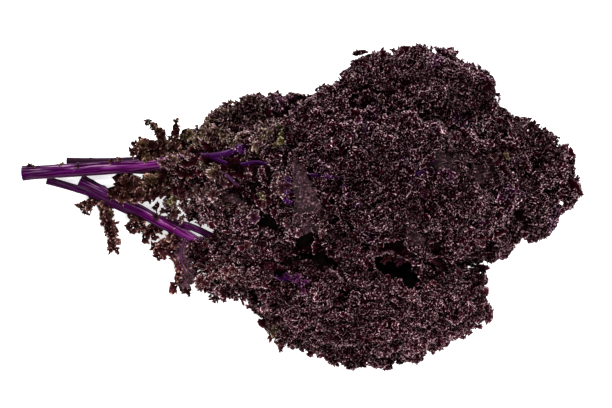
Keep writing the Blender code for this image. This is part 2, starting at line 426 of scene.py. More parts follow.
# %% The blades as arrays and trees
LEAVES = ["inner_leaf", "centre_leaf", "lower_leaf", "upper_leaf", "right_leaf", "side_leaf",
          "bottom_leaf"]


def solid_arrays(node):
    """The node's triangles, (n, 3, 3), in metres."""
    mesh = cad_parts[node].data
    mesh.calc_loop_triangles()
    points = np.array([v.co for v in mesh.vertices])
    corners = np.array([t.vertices[:] for t in mesh.loop_triangles])
    return points[corners]


def tree_of(triangles):
    corners = [Vector(p) for p in triangles.reshape(-1, 3)]
    return BVHTree.FromPolygons(corners, np.arange(len(corners)).reshape(-1, 3).tolist())


blade_triangles = {leaf: solid_arrays(leaf + "_blade") for leaf in LEAVES}
blade_trees = {leaf: tree_of(t) for leaf, t in blade_triangles.items()}
blade_boxes = {leaf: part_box(leaf + "_blade") for leaf in LEAVES}


def over(leaf, along, across):
    """The point of the table under a place in the leaf's box: 0 to 1 along X, and along Y."""
    low, high = blade_boxes[leaf]
    return (low[0] + along * (high[0] - low[0]), low[1] + across * (high[1] - low[1]))


def top_of(leaf, x, y):
    """How high the leaf's solid stands over a point of the table, or None beside it."""
    hit = blade_trees[leaf].ray_cast(Vector((x, y, 0.3)), Vector((0, 0, -1)))
    return hit[0].z if hit[0] is not None else None


def highest(x, y):
    """How high the topmost solid stands over a point of the table, or 0 beside them all."""
    tops = [top_of(leaf, x, y) for leaf in LEAVES]
    return max([t for t in tops if t is not None], default=0.0)


def near_other(place, other, clear):
    """True if the place is within clear metres of the other leaf's solid."""
    hit = blade_trees[other].find_nearest(Vector(place), clear)
    return hit[0] is not None


def unit(direction):
    return direction / np.linalg.norm(direction)


print("blades:", {leaf: len(t) for leaf, t in blade_triangles.items()})

# %% [markdown]
# ## Where the leaves lie open
# Curls don't cover everything. Between the heads are deep hollows; some blades turn over and
# show a smooth back with veins; and here and there a stalk or a midrib lies bare. Each such
# place is given by a leaf and by how far along and across that leaf's own box it is, with
# its half length and half width in millimetres, and curls keep out of it.

# %% Open places
# leaf, along, across, half length, half width, and the leaf whose blade lies below
HOLLOWS = [
    ("inner_leaf", 0.583, 0.78, 6, 4, "inner_leaf"),
    ("inner_leaf", 0.615, 0.35, 12, 6, "inner_leaf"),
    ("lower_leaf", 0.375, 0.82, 14, 9, "bottom_leaf"),
    ("lower_leaf", 0.455, 0.80, 9, 8, "bottom_leaf"),
    ("lower_leaf", 0.650, 0.775, 15, 12, "bottom_leaf"),
    ("lower_leaf", 0.705, 0.63, 10, 9, "bottom_leaf"),
    ("lower_leaf", 0.80, 0.775, 12, 8, "bottom_leaf"),
    ("centre_leaf", 0.61, 0.91, 6, 3, "upper_leaf"),
]
# leaf, along, across, half length, half width, sink, painted light: 0 for a back painted in shade,
# 1 for one painted lit
BARE_BACKS = [
    ("centre_leaf", 0.785, 0.66, 10, 8, 9.0, 0.0),
    ("centre_leaf", 0.900, 0.58, 8, 5, 7.0, 0.35),
    ("centre_leaf", 0.705, 0.17, 5, 4, 7.0, 0.20),
    ("inner_leaf", 0.440, 0.66, 8, 9, 6.0, 0.4),
]
# leaf, stops, thick, thin, sink
RIBS = [
    ("centre_leaf", [(0.690, 0.54), (0.725, 0.58), (0.765, 0.65)], 1.2, 0.7, 9.0),
    ("centre_leaf", [(0.415, 0.560), (0.480, 0.545), (0.545, 0.515)], 1.5, 0.8, 6.0),
    ("centre_leaf", [(0.505, 0.50), (0.507, 0.44), (0.505, 0.37)], 1.0, 0.6, 7.0),
    ("centre_leaf", [(0.215, 0.63), (0.265, 0.645), (0.325, 0.60)], 1.5, 1.0, 8.0),
    ("inner_leaf", [(0.34, 0.90), (0.47, 0.70), (0.60, 0.47)], 1.5, 0.8, 3.5),
    ("lower_leaf", [(0.272, 0.590), (0.305, 0.585), (0.338, 0.560), (0.350, 0.475)],
     2.4, 1.4, 10.5),
    ("side_leaf", [(0.17, 0.05), (0.25, 0.06), (0.33, 0.09), (0.43, 0.19)], 2.9, 2.1, 3.0),
    ("side_leaf", [(0.23, 0.06), (0.28, 0.00), (0.34, -0.05)], 2.1, 1.2, 3.0),
]


def open_discs():
    """(x, y, half length, half width) in metres of every place without curls."""
    discs = []
    for leaf, along, across, length, width in [row[:5] for row in HOLLOWS + BARE_BACKS]:
        discs.append((*over(leaf, along, across), length * MM, width * MM))
    for leaf, stops, thick, _, _ in RIBS:
        points = [over(leaf, *stop) for stop in stops]
        for a, b in zip(points, points[1:]):
            for s in (0.0, 0.33, 0.67, 1.0):
                spot = (a[0] + (b[0] - a[0]) * s, a[1] + (b[1] - a[1]) * s)
                discs.append((*spot, 0.5 * thick * MM, 0.5 * thick * MM))
    return discs


OPEN = np.array(open_discs())


def lies_open(place, outward, reach):
    """True if a curl of that radius would cover an open place, seen from above."""
    top = place + outward * 2 * MM
    off = (top[:2] - OPEN[:, :2]) / (OPEN[:, 2:] + reach)
    return outward[2] > -0.2 and np.hypot(off[:, 0], off[:, 1]).min() < 1.0


print("open places:", len(HOLLOWS) + len(BARE_BACKS) + len(RIBS))

# %% [markdown]
# ## Where the outline draws in
# The solids are smooth, and the bunch's outline isn't: where two heads meet it draws in
# between them, and elsewhere a few curls stand out. Each of these places shifts the curls
# round it level, towards the middle of the leaf, or outwards where its number is negative.

# %% Places drawn in
# along, across, radius, millimetres inwards, and degrees off the way to the middle
DRAWN_IN = {
    "side_leaf": [(0.58, 0.96, 48, 5.0), (0.08, 0.60, 18, 11.0), (0.20, 0.70, 12, 6.0),
                  (0.31, 0.76, 14, 4.0), (0.76, 0.94, 20, 10.0), (0.89, 0.87, 14, 9.0)],
    "upper_leaf": [(0.24, 0.63, 20, 10.0), (0.29, 0.65, 14, 8.0, -30), (0.38, 0.76, 15, 8.0),
                   (0.44, 0.90, 11, 6.0), (0.54, 0.98, 12, -5.0), (0.64, 0.98, 10, 4.0),
                   (0.69, 0.99, 10, 3.0), (0.84, 0.93, 9, 7.0), (0.90, 0.84, 24, 8.0),
                   (0.97, 0.70, 10, 5.0)],
    "right_leaf": [(0.94, 0.33, 17, 11.0), (0.80, 0.14, 17, 11.0), (0.98, 0.38, 16, 5.0),
                   (1.00, 0.62, 26, 2.5), (0.92, 0.81, 20, 2.0), (0.83, 0.95, 9, 4.0),
                   (0.77, 0.99, 8, -3.0), (0.65, 0.07, 12, -5.0), (0.74, 0.10, 8, 4.0)],
    "lower_leaf": [(0.12, 0.38, 24, 18.0, 70), (0.83, 0.06, 22, 6.0), (0.92, 0.17, 10, 4.0),
                   (1.00, 0.35, 25, 2.5), (0.95, 0.72, 12, -5.0)],
    "bottom_leaf": [(0.23, 0.45, 24, 20.0, 75), (0.30, 0.28, 20, 8.0), (0.42, 0.10, 16, 3.0),
                    (0.53, 0.05, 16, 4.0), (0.62, 0.03, 9, 4.0), (0.93, 0.16, 22, 6.0),
                    (0.76, 0.04, 14, -1.0)],
}


def draw_of(leaf, along, across, radius, pull, turn=0.0):
    """(x, y, radius, shift along x, shift along y) in metres of one place."""
    x, y = over(leaf, along, across)
    mid_x, mid_y = over(leaf, 0.5, 0.5)
    heading = math.atan2(mid_y - y, mid_x - x) + math.radians(turn)
    return (x, y, radius * MM, pull * MM * math.cos(heading), pull * MM * math.sin(heading))


draws = {leaf: [draw_of(leaf, *row) for row in DRAWN_IN.get(leaf, [])] for leaf in LEAVES}


def drawn_in(leaf, place):
    """The level shift of a curl at this place of the leaf, in metres."""
    shift = np.zeros(3)
    for x, y, radius, dx, dy in draws[leaf]:
        near = math.exp(-((place[0] - x) ** 2 + (place[1] - y) ** 2) / (0.5 * radius ** 2))
        shift += near * np.array([dx, dy, 0.0])
    return shift


print("drawn in:", {leaf: len(rows) for leaf, rows in draws.items()})

# %% [markdown]
# ## Where the curls sit
# Spots are spread evenly over each blade's surface, none closer to another than a curl's own
# width, and each curl stands on its spot facing out, with a random lean. Where two leaves
# press on each other there is no room for curls, so spots close to another leaf are left out.

# %% Spots on the blades
LEAF_MIDDLE_REACH = 0.025  # how far round a spot the leaf's own middle is looked for, in metres
LIFT_UP = 0.35  # how much more a curl faces up than straight out of the solid


def spots_on(leaf, spacing, clear, rng, tries=9000, taken=()):
    """[(place, outward direction)] spread over the leaf's solid, clear of other leaves."""
    triangles = blade_triangles[leaf]
    edges = triangles[:, 1:] - triangles[:, :1]
    normals = np.cross(edges[:, 0], edges[:, 1])
    areas = np.linalg.norm(normals, axis=1)
    normals /= areas[:, None] + 1e-12
    pick = rng.choice(len(triangles), tries, p=areas / areas.sum())
    a, b = rng.random((2, tries))
    a, b = np.where(a + b > 1, 1 - a, a), np.where(a + b > 1, 1 - b, b)
    places = triangles[pick, 0] + edges[pick, 0] * a[:, None] + edges[pick, 1] * b[:, None]
    middles = triangles.mean(1)
    kept = []
    taken = list(taken)
    for place, facing in zip(places, normals[pick]):
        if taken and np.linalg.norm(np.array(taken) - place, axis=1).min() < spacing:
            continue
        if any(near_other(place, other, clear) for other in LEAVES if other != leaf):
            continue
        weight = np.exp(-((middles - place) ** 2).sum(1) / (2 * LEAF_MIDDLE_REACH ** 2)) * areas
        inward = (middles * weight[:, None]).sum(0) / weight.sum() - place
        outward = facing - inward / (np.linalg.norm(inward) + 1e-9)
        outward[2] += LIFT_UP
        kept.append((place, unit(outward)))
        taken.append(place)
    return kept


print("leaves that keep their spots clear of each other:", len(LEAVES))

# %% [markdown]
# ## Placing the curls
# Each curl is turned, mirrored and stretched at random, so that a few kinds of sheet are
# enough, and then bent by slow waves that differ for every curl. What would reach below the
# table is pressed flat on it.

# %% One curl on its spot
TABLE_GAP = 0.4 * MM
PRESSED = 2.0 * MM  # how thick a layer the curls pressed on the table fill
UP = np.array([0.0, 0.0, 1.0])


def frame_of(outward, turn):
    """Two directions across the outward one, turned about it."""
    hint = UP if abs(outward[2]) < 0.9 else np.array([1.0, 0.0, 0.0])
    first = unit(np.cross(hint, outward))
    second = np.cross(outward, first)
    return (first * math.cos(turn) + second * math.sin(turn),
            second * math.cos(turn) - first * math.sin(turn))


def wander(points, size, strength, rng, waves=4):
    """The points moved by smooth waves, strength metres each way, over size metres."""
    moved = np.zeros_like(points)
    for _ in range(waves):
        direction = unit(rng.standard_normal(3))
        sway = rng.standard_normal(3)
        wave = np.sin(points @ direction * (2 * np.pi / size) * rng.uniform(0.7, 1.4)
                      + rng.uniform(0, 6.28))
        moved += wave[..., None] * sway
    return points + moved * strength / waves ** 0.5


def press_on_table(points):
    """The points, with what would reach below the table pressed into a thin layer on it."""
    low = TABLE_GAP + PRESSED
    z = points[..., 2]
    pressed = TABLE_GAP + PRESSED * np.exp((np.minimum(z, low) - low) / PRESSED)
    points[..., 2] = np.where(z < low, pressed, z)
    return points


def place_curl(spot, outward, scale, lift, rng, kinds=None):
    """One of the kinds of sheet, standing on the spot."""
    kinds = kinds or curl_kinds
    kind = kinds[rng.integers(len(kinds))]
    across, along = frame_of(outward, rng.uniform(0, 2 * np.pi))
    stretch = rng.uniform(0.8, 1.25)
    local = kind * MM * scale
    mirror = rng.choice([-1.0, 1.0])
    points = (spot + across * local[..., :1] * stretch * mirror
              + along * local[..., 1:2] / stretch + outward * (local[..., 2:] + lift))
    points = wander(points, 9 * MM, 0.75 * MM, rng)
    points = wander(points, 3.6 * MM, 0.30 * MM, rng)
    return press_on_table(points)


def leaning(direction, amount, rng):
    """A direction near the given one."""
    return unit(direction + amount * rng.standard_normal(3))


print("lowest point of a curl:", TABLE_GAP)

# %% [markdown]
# ## Tips round the outline
# Seen from above, a head of kale ends in small toothed tips, not in the rims of its curls.
# They lie nearly flat round the leaf's sides, some with a second tip behind.

# %% Outline tips
OUTLINE_SPACING = 0.0075
STEEPEST_SIDE = 0.75  # a tip stands only where the solid faces less up or down than this
OUTLINE_REACH = (-4.6, 0.3)  # millimetres that a tip's middle stands out past the solid
OUTLINE_SIZES = (0.50, 0.90)
SECOND_SHARE = 0.35  # of the tips, with a second one behind
SECOND_SIZES = (0.6, 0.9)
SECOND_BEHIND = 5 * MM
SECOND_SHADE = 0.15  # 0 for a sheet in the light, 1 for one deep between others


def outline_tips(leaf, seed):
    """[(sheet, shade)] of the tips that stand out past the leaf's curls."""
    rng = np.random.default_rng(seed)
    tips = []
    for place, outward in spots_on(leaf, OUTLINE_SPACING, 0.001, rng, 3500):
        if abs(outward[2]) > STEEPEST_SIDE or lies_open(place, outward, 3 * MM):
            continue
        flat = leaning(0.9 * UP + 0.35 * outward, 0.45, rng)
        spot = place + (rng.uniform(*OUTLINE_REACH) * MM * outward + drawn_in(leaf, place))
        size = rng.uniform(*OUTLINE_SIZES)
        tips.append((place_curl(spot, flat, size, 0.0, rng, tip_kinds), 0.0))
        if rng.random() < SECOND_SHARE:
            size = rng.uniform(*SECOND_SIZES)
            second = place_curl(spot - SECOND_BEHIND * outward, flat, size, 0.0, rng, tip_kinds)
            tips.append((second, SECOND_SHADE))
    return tips


print("outline tips are", [size * TIP_RADIUS for size in OUTLINE_SIZES], "mm in radius")

# %% [markdown]
# ## Curls in the gaps
# Spots spread at random leave gaps, where the dark folded middle of the leaf would show. A
# grid over the leaf, seen from above, tells where no curl hides it, and each such gap gets
# one small curl.

# %% Curls put in gaps
GAP_CELL = 1.5 * MM
GAP_DEPTH = 11.0 * MM  # how far below the solid's top a curl still hides the folded middle
GAP_CURL = 5.0 * MM  # half the width of a curl put in a gap
GAP_SIZES = (0.5, 0.7)
GAP_LIFTS = (-7.0, -3.0)  # millimetres from the solid's surface to the curl's margin
# the curls put in gaps are painted in shade, from some to much
GAP_SHADES = (0.4, 0.9)
GAP_REACH = 0.009  # how far round a gap, in metres, the leaves must go on for a curl to go in it
GAP_LOOKS = [(GAP_REACH * math.cos(turn), GAP_REACH * math.sin(turn))
             for turn in np.arange(8) * np.pi / 4]


def cell_of(values, start, count):
    """The cells of the grid, count of them from start, that the values fall in."""
    return np.clip(((values - start) / GAP_CELL).round().astype(int), 0, count - 1)


def into_gaps(leaf, sheets, rng):
    """[(sheet, shade)] of small curls wherever the folded middle would show from above."""
    low, high = blade_boxes[leaf]
    xs, ys = np.arange(low[0], high[0], GAP_CELL), np.arange(low[1], high[1], GAP_CELL)
    tops = np.full((len(xs), len(ys)), np.nan)
    for i, x in enumerate(xs):
        for j, y in enumerate(ys):
            top = top_of(leaf, x, y)
            if top is not None and top > highest(x, y) - 2 * MM:
                tops[i, j] = top
    points = np.concatenate([sheet.reshape(-1, 3) for sheet in sheets])
    i, j = cell_of(points[:, 0], low[0], len(xs)), cell_of(points[:, 1], low[1], len(ys))
    shows = points[:, 2] > np.nan_to_num(tops[i, j], nan=9.0) - GAP_DEPTH
    hidden = np.isnan(tops)
    hidden[i[shows], j[shows]] = True
    hidden[1:] |= hidden[:-1].copy()
    hidden[:, 1:] |= hidden[:, :-1].copy()
    added = []
    for i, j in rng.permutation(np.argwhere(~hidden)):
        place = np.array([xs[i], ys[j], tops[i, j]])
        round_it = [highest(place[0] + dx, place[1] + dy) for dx, dy in GAP_LOOKS]
        if hidden[i, j] or min(round_it) == 0 or lies_open(place, UP, 0.5 * GAP_CURL):
            continue
        if np.linalg.norm(drawn_in(leaf, place)) > 2 * MM:
            continue
        facing = leaning(UP, 0.35, rng)
        lift = rng.uniform(*GAP_LIFTS) * MM
        curl = place_curl(place, facing, rng.uniform(*GAP_SIZES), lift, rng, small_kinds)
        added.append((curl, rng.uniform(*GAP_SHADES)))
        hidden |= np.hypot(xs[:, None] - place[0], ys[None] - place[1]) < GAP_CURL
    return added


low, high = blade_boxes["centre_leaf"]
print("cells over the centre leaf:", [round((high[k] - low[k]) / GAP_CELL) for k in (0, 1)])

# %% [markdown]
# ## The curls of a whole leaf
# A head of kale isn't even: its curls stand in clumps as wide as a thumb, each clump domed,
# with a darker valley round it, whose curls are also painted darker as shade. So a few spots
# far apart are the clumps' middles, large curls rise and lean by how far they are from the
# nearest, and small curls and flat tips fill what is left, deeper down and mostly painted in shade.

# %% All the curls of one leaf
CURL_SPACING = 0.0080
CURL_SIZES = (0.42, 0.82)
CURL_LIFTS = (-3.5, 2.5)
CURL_LEAN = 0.30
FILL_SPACING = 0.0054
FILL_SIZES = (0.45, 0.70)
FILL_LIFTS = (-9.0, -4.0)
# the small curls deep between the large ones are painted in shade
FILL_SHADE = 0.7
TIP_SHARE = 0.40  # of the small curls, flat tips instead
TIP_SIZES = (0.35, 0.68)
TIP_LIFTS = (-5.0, 0.5)
# the flat tips are painted in shade from none to some
TIP_SHADES = (0.0, 0.45)
CLUMP_SPACING = 0.024  # from the middle of one clump of curls to the next
CLUMP_REACH = 0.015
CLUMP_LEAN = 0.60
CLUMP_RISE = 9.0  # millimetres from a clump's rim to its middle
VALLEY_START = 0.85  # how near the rim of its clump a curl stands in the valley
VALLEY_SHARE = 0.12  # of the curls in the valleys, left out
UNDERSIDE_SHARE = 0.45  # of the curls that the bunch lies on, left out: pressed flat, they overlap


def chosen_size(place, outward, sizes, rng):
    """A size for the curl at this spot, or None where none should stand."""
    if outward[2] < -0.5 and rng.random() < UNDERSIDE_SHARE:
        return None
    size = rng.uniform(*sizes)
    return None if lies_open(place, outward, CURL_ROOM * size * 0.50 * MM) else size


def leaf_curls(leaf, seed):
    """The leaf's (large curls, small ones deep between them, flat tips), each (sheet, shade)."""
    rng = np.random.default_rng(seed)
    clumps = np.array([place for place, _ in spots_on(leaf, CLUMP_SPACING, 0.0, rng, 900)])
    first = spots_on(leaf, CURL_SPACING, 0.002, rng)
    between = spots_on(leaf, FILL_SPACING, 0.0005, rng, 4000, [place for place, _ in first])
    large, small, tips = [], [], []
    for place, outward in first:
        size = chosen_size(place, outward, CURL_SIZES, rng)
        if size is None:
            continue
        off = place - clumps[np.linalg.norm(clumps - place, axis=1).argmin()]
        share = min(1.0, np.linalg.norm(off) / CLUMP_REACH)
        if share > VALLEY_START and rng.random() < VALLEY_SHARE:
            continue
        facing = unit(outward + CURL_LEAN * rng.standard_normal(3) + CLUMP_LEAN * off / CLUMP_REACH)
        lift = (CLUMP_RISE * (0.5 - share ** 2) + rng.uniform(*CURL_LIFTS)) * MM
        curl = place_curl(place + drawn_in(leaf, place), facing, size, lift, rng)
        # painted shade: a large curl is painted darker the nearer it stands to the valley round its
        # clump
        large.append((curl, max(0.0, 1.6 * share - 0.6)))
    for place, outward in between:
        size = chosen_size(place, outward, FILL_SIZES, rng)
        if size is None:
            continue
        facing = leaning(outward, CURL_LEAN, rng)
        spot = place + drawn_in(leaf, place)
        if rng.random() < TIP_SHARE:
            size, lift = rng.uniform(*TIP_SIZES), rng.uniform(*TIP_LIFTS) * MM
            tip = place_curl(spot, facing, size, lift, rng, tip_kinds)
            tips.append((tip, rng.uniform(*TIP_SHADES)))
        else:
            lift = rng.uniform(*FILL_LIFTS) * MM
            small.append((place_curl(spot, facing, size, lift, rng, small_kinds), FILL_SHADE))
    small += into_gaps(leaf, [sheet for sheet, _ in large + small + tips], rng)
    return large, small, tips + outline_tips(leaf, seed + 300)


print("a leaf's curls stand", CURL_SPACING, "m apart")

# %% [markdown]
# ## Making the meshes
# The curls of a leaf go in a few meshes, each filled in one pass, because adding two million
# faces one at a time would take minutes. Each point remembers how near the margin it is,
# which curl it belongs to and how deep in the shade that curl stands, which the colours
# need, and each curl has a tile of the map that the colours are stored in.

# %% Mesh of many sheets
CURLS_A_PIECE = 120
MAP_EDGE = 0.02  # of a tile of the map, left empty all round


def sheets_mesh(name, sheets, closed=True, margin=None, shades=None):
    """One mesh of grids of points; each grid is (levels, around, 3)."""
    points, faces, margins, tints, maps = [], [], [], [], []
    shades = shades or [0.0] * len(sheets)
    shaded = [np.full(sheet[..., 0].size, shade) for sheet, shade in zip(sheets, shades)]
    rng = np.random.default_rng(len(name) + len(sheets))
    tiles = math.ceil(len(sheets) ** 0.5)
    start = 0
    for n, sheet in enumerate(sheets):
        levels, around, _ = sheet.shape
        rows = np.arange(levels - 1)[:, None] * around
        cols = np.arange(around if closed else around - 1)[None]
        nexts = (cols + 1) % around
        above = rows + around
        quad = np.stack([rows + cols, rows + nexts, above + nexts, above + cols], -1)
        faces.append(quad.reshape(-1, 4) + start)
        points.append(sheet.reshape(-1, 3))
        ups = np.linspace(0, 1, levels) if margin is None else margin(np.linspace(0, 1, levels))
        margins.append(np.repeat(ups, around))
        tints.append(np.full(levels * around, rng.random()))
        u0, v0 = (cols + 0 * rows) / cols.size, (rows / around + 0 * cols) / (levels - 1)
        u1, v1 = u0 + 1 / cols.size, v0 + 1 / (levels - 1)
        corner = np.stack([np.stack([u0, v0], -1), np.stack([u1, v0], -1),
                           np.stack([u1, v1], -1), np.stack([u0, v1], -1)], -2)
        tile = np.array([n % tiles, n // tiles])
        maps.append(((corner * (1 - 2 * MAP_EDGE) + MAP_EDGE + tile) / tiles).reshape(-1, 2))
        start += levels * around
    mesh = bpy.data.meshes.new(name)
    fill_mesh(mesh, np.concatenate(points), np.concatenate(faces))
    mark(mesh, margin=margins, tint=tints, shaded=shaded)
    add_map(mesh, np.concatenate(maps))
    return mesh


def fill_mesh(mesh, points, faces):
    """Gives the mesh its points and its faces, which all have the same number of corners."""
    mesh.vertices.add(len(points))
    mesh.vertices.foreach_set("co", points.astype(np.float32).ravel())
    mesh.loops.add(faces.size)
    mesh.loops.foreach_set("vertex_index", faces.astype(np.int32).ravel())
    mesh.polygons.add(len(faces))
    starts = np.arange(0, faces.size, faces.shape[1], dtype=np.int32)
    mesh.polygons.foreach_set("loop_start", starts)
    mesh.update(calc_edges=True)
    mesh.validate()
    mesh.shade_smooth()


def mark(mesh, **layers):
    """Gives each point of the mesh a number under each label, from a list of arrays."""
    for label, values in layers.items():
        layer = mesh.attributes.new(label, "FLOAT", "POINT")
        layer.data.foreach_set("value", np.concatenate(values).astype(np.float32))


def add_map(mesh, corners):
    """The map that the colours are stored in: one place in a square for each face corner."""
    layer = mesh.uv_layers.new(name="OFBake")
    layer.uv.foreach_set("vector", corners.astype(np.float32).ravel())


def add_piece(mesh, finish, node):
    """An object of that mesh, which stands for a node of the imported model."""
    piece = bpy.data.objects.new(mesh.name, mesh)
    scene.collection.objects.link(piece)
    piece.data.materials.append(finish)
    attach(piece, "root")
    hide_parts(node)


print("at most", CURLS_A_PIECE, "curls in a mesh")

# %% [markdown]
# ## The finish of the curls
# Purple kale is wine red on its faces. Its folds are painted nearly black as shade, and curls
# that stand deep between others, and random patches of them, are painted darker still as shade.
# The margin itself is a pale lilac: partly the leaf's wax, which is thickest there, and partly a
# painted highlight where the light shines along it, weaker in painted shade. Near the stalks
# the curls are older and browner, and here and there the green shows through.

# %% Blade finish
VIOLET_TINGE = rgb(0.050, 0.006, 0.050)
OLIVE_TINGE = rgb(0.115, 0.090, 0.030)
RED_TINGE = rgb(0.100, 0.018, 0.026)


def leaf_finish(name, deep_shade, wine, brown, wax_and_highlight_colour, rim_start=0.80, green=0.9, grain_size=0.0015):
    """A curly leaf's colours by how near the margin a point is and how far along the bunch, with
    painted shade in its folds and a painted highlight on its margin.
    """
    material, shader, w = new_material(name)
    margin = w.attribute("margin")
    tint = w.attribute("tint")
    place = w.place()
    blotch = w.noise(0.018, 3.0)
    grain = w.noise(grain_size, 2.0)
    old = (1 - place.axis(0).rise(-0.13, 0.02) + (tint - 0.5) * 0.5 + (blotch - 0.5)).clamp()
    face = old.blend(wine, brown)
    violet = (w.noise(0.024, 2.0) + 0.25 * (tint - 0.5)).rise(0.56, 0.70)
    face = (violet * (0.8 - 0.65 * old)).clamp().blend(face, VIOLET_TINGE)
    upper = place.axis(1).rise(0.00, 0.05) * (1 - place.axis(0).rise(-0.02, 0.02))
    olive = (w.noise(0.013, 2.0) + 0.15 * upper + 0.1 * (tint - 0.5)).rise(0.62, 0.70)
    face = (olive * old * green).clamp().blend(face, OLIVE_TINGE)
    # towards the bunch's lower side, along -Y, the faces turn redder and the margins paler
    lower = 1 - place.axis(1).rise(-0.060, -0.005)
    face = (0.6 * lower).blend(face, RED_TINGE)
    # painted shade: each curl's shade number and random patches darken it towards the folds' colour
    # and dim its margin
    shaded = w.attribute("shaded")
    shade_patch = w.noise(0.026, 2.0).rise(0.56, 0.30)
    painted_shade = (0.80 * shaded + 1.5 * shade_patch * shade_patch).clamp()
    # painted shade: near its base, deep in the folds, a curl takes the folds' near-black colour
    depth = margin.rise(0.10, 0.85).blend(deep_shade, face)
    depth = (0.7 * painted_shade).blend(depth, deep_shade)
    # random fine specks also take the folds' dark colour
    mottle = w.noise(0.0036, 3.0)
    specks = (grain.rise(0.50, 0.38) * 0.8 + mottle.rise(0.52, 0.36) * 0.35).clamp()
    depth = specks.blend(depth, deep_shade)
    # the pale margin: partly the leaf's wax and partly a painted highlight, dimmed where painted
    # shade falls
    wax_and_highlight = (0.02 + (2.2 + 0.5 * lower) * grain.rise(0.47, 0.66)) * (1 - 0.75 * painted_shade)
    pale = (margin.rise(rim_start, 1.0) * wax_and_highlight).clamp()
    dress(shader, w, pale.blend(depth, wax_and_highlight_colour), 0.45 + 0.25 * grain, 0.01, grain, 0.6, 0.0005)
    return material


blade_finish = leaf_finish("curly_blade", rgb(0.006, 0.0, 0.0005), rgb(0.034, 0.0025, 0.0095),
                           rgb(0.080, 0.018, 0.020), rgb(0.72, 0.48, 0.53))
open_finish = leaf_finish("open_blade", rgb(0.010, 0.001, 0.002), rgb(0.062, 0.022, 0.030),
                          rgb(0.085, 0.034, 0.032), rgb(0.46, 0.32, 0.32), 0.72)
green_finish = leaf_finish("greenish_blade", rgb(0.020, 0.010, 0.003), rgb(0.11, 0.085, 0.032),
                           rgb(0.135, 0.10, 0.045), rgb(0.48, 0.42, 0.28), 0.66, 0.5)
leaflet_finish = leaf_finish("curly_leaflet", rgb(0.004, 0.0002, 0.0005), rgb(0.031, 0.0065, 0.010),
                             rgb(0.055, 0.019, 0.016), rgb(0.40, 0.23, 0.19), 0.78, 0.35, 0.0018)
# painted shade: lobes laid deep in the hollows are painted nearly black
deep_finish = leaf_finish("blade_in_the_dark", rgb(0.0004, 0.0001, 0.0001),
                          rgb(0.0018, 0.0004, 0.0006), rgb(0.0025, 0.001, 0.001),
                          rgb(0.022, 0.012, 0.013), 0.80, 0.2)
violet_finish = leaf_finish("violet_blade", rgb(0.010, 0.0, 0.014), rgb(0.050, 0.004, 0.066),
                            rgb(0.060, 0.010, 0.070), rgb(0.34, 0.17, 0.36), 0.80, 0.1)
print("finishes:", blade_finish.name, open_finish.name, green_finish.name, leaflet_finish.name,
      deep_finish.name, violet_finish.name)

# %% All the curls
total = 0
for i, leaf in enumerate(LEAVES):
    for size, sheets in zip(("curls", "small_curls", "tips"), leaf_curls(leaf, 40 + i)):
        count = math.ceil(len(sheets) / CURLS_A_PIECE)
        for k in range(count):
            some, shades = zip(*sheets[k::count])
            mesh = sheets_mesh(f"{leaf}_{size}_{k + 1}", some, shades=shades)
            add_piece(mesh, blade_finish, leaf + "_blade")
            total += 2 * len(mesh.polygons)
        print(leaf, size, len(sheets))
print("triangles:", total)

# %% [markdown]
# ## The open leaves at the neck
# Where the blades narrow into their stalks they lie open: loose toothed lobes with gaps
# between them, and a few curls that stand singly beside the stalks. Here and there a young
# lobe has stayed green, and lobes beside bare ribs are violet. They are placed in small
# groups, each by a leaf's box.

# %% Groups of lobes and single curls
# leaf, along, across, half length, half width, lowest, highest, how many, smallest, largest;
# where the highest is 0, the lowest is counted from the top of all leaves
LOBE_GROUPS = [
    ("lower_leaf", 0.935, 0.735, 9, 4, 22, 40, 9, 0.7, 1.0),
    ("inner_leaf", -0.04, 0.50, 12, 6, 14, 22, 12, 0.6, 0.9),
    ("inner_leaf", 0.09, 0.66, 11, 14, 20, 32, 18, 0.6, 1.0),
    ("inner_leaf", 0.02, 0.90, 10, 5, 28, 36, 9, 0.5, 0.9),
    ("inner_leaf", 0.28, 0.72, 20, 14, 0, 0, 22, 0.8, 1.4),
    ("inner_leaf", 0.52, 0.62, 14, 18, 0, 0, 14, 0.7, 1.2),
    ("side_leaf", -0.02, 0.24, 9, 6, 34, 42, 10, 0.6, 0.9),
    ("side_leaf", 0.20, 0.36, 16, 8, 0, 0, 18, 0.8, 1.2),
    ("side_leaf", 0.13, 0.10, 14, 5, 0, 0, 14, 0.5, 0.9),
    ("inner_leaf", 0.03, 1.00, 9, 6, 46, 52, 10, 0.5, 0.9),
    ("inner_leaf", 0.38, 0.93, 16, 8, 0, 0, 14, 0.6, 1.0),
    ("inner_leaf", 0.68, 0.76, 9, 8, 0, 0, 8, 0.6, 1.0),
    ("side_leaf", 0.48, 0.36, 18, 12, 0, 0, 18, 0.8, 1.2),
    ("bottom_leaf", 0.07, 0.80, 13, 18, 12, 22, 26, 0.6, 1.0),
    ("bottom_leaf", 0.15, 0.74, 12, 9, 0, 0, 12, 0.7, 1.1),
    ("inner_leaf", 0.00, 0.70, 12, 9, 20, 30, 10, 0.6, 1.0),
    ("inner_leaf", 0.09, 0.50, 12, 7, 20, 30, 12, 0.6, 1.0),
]
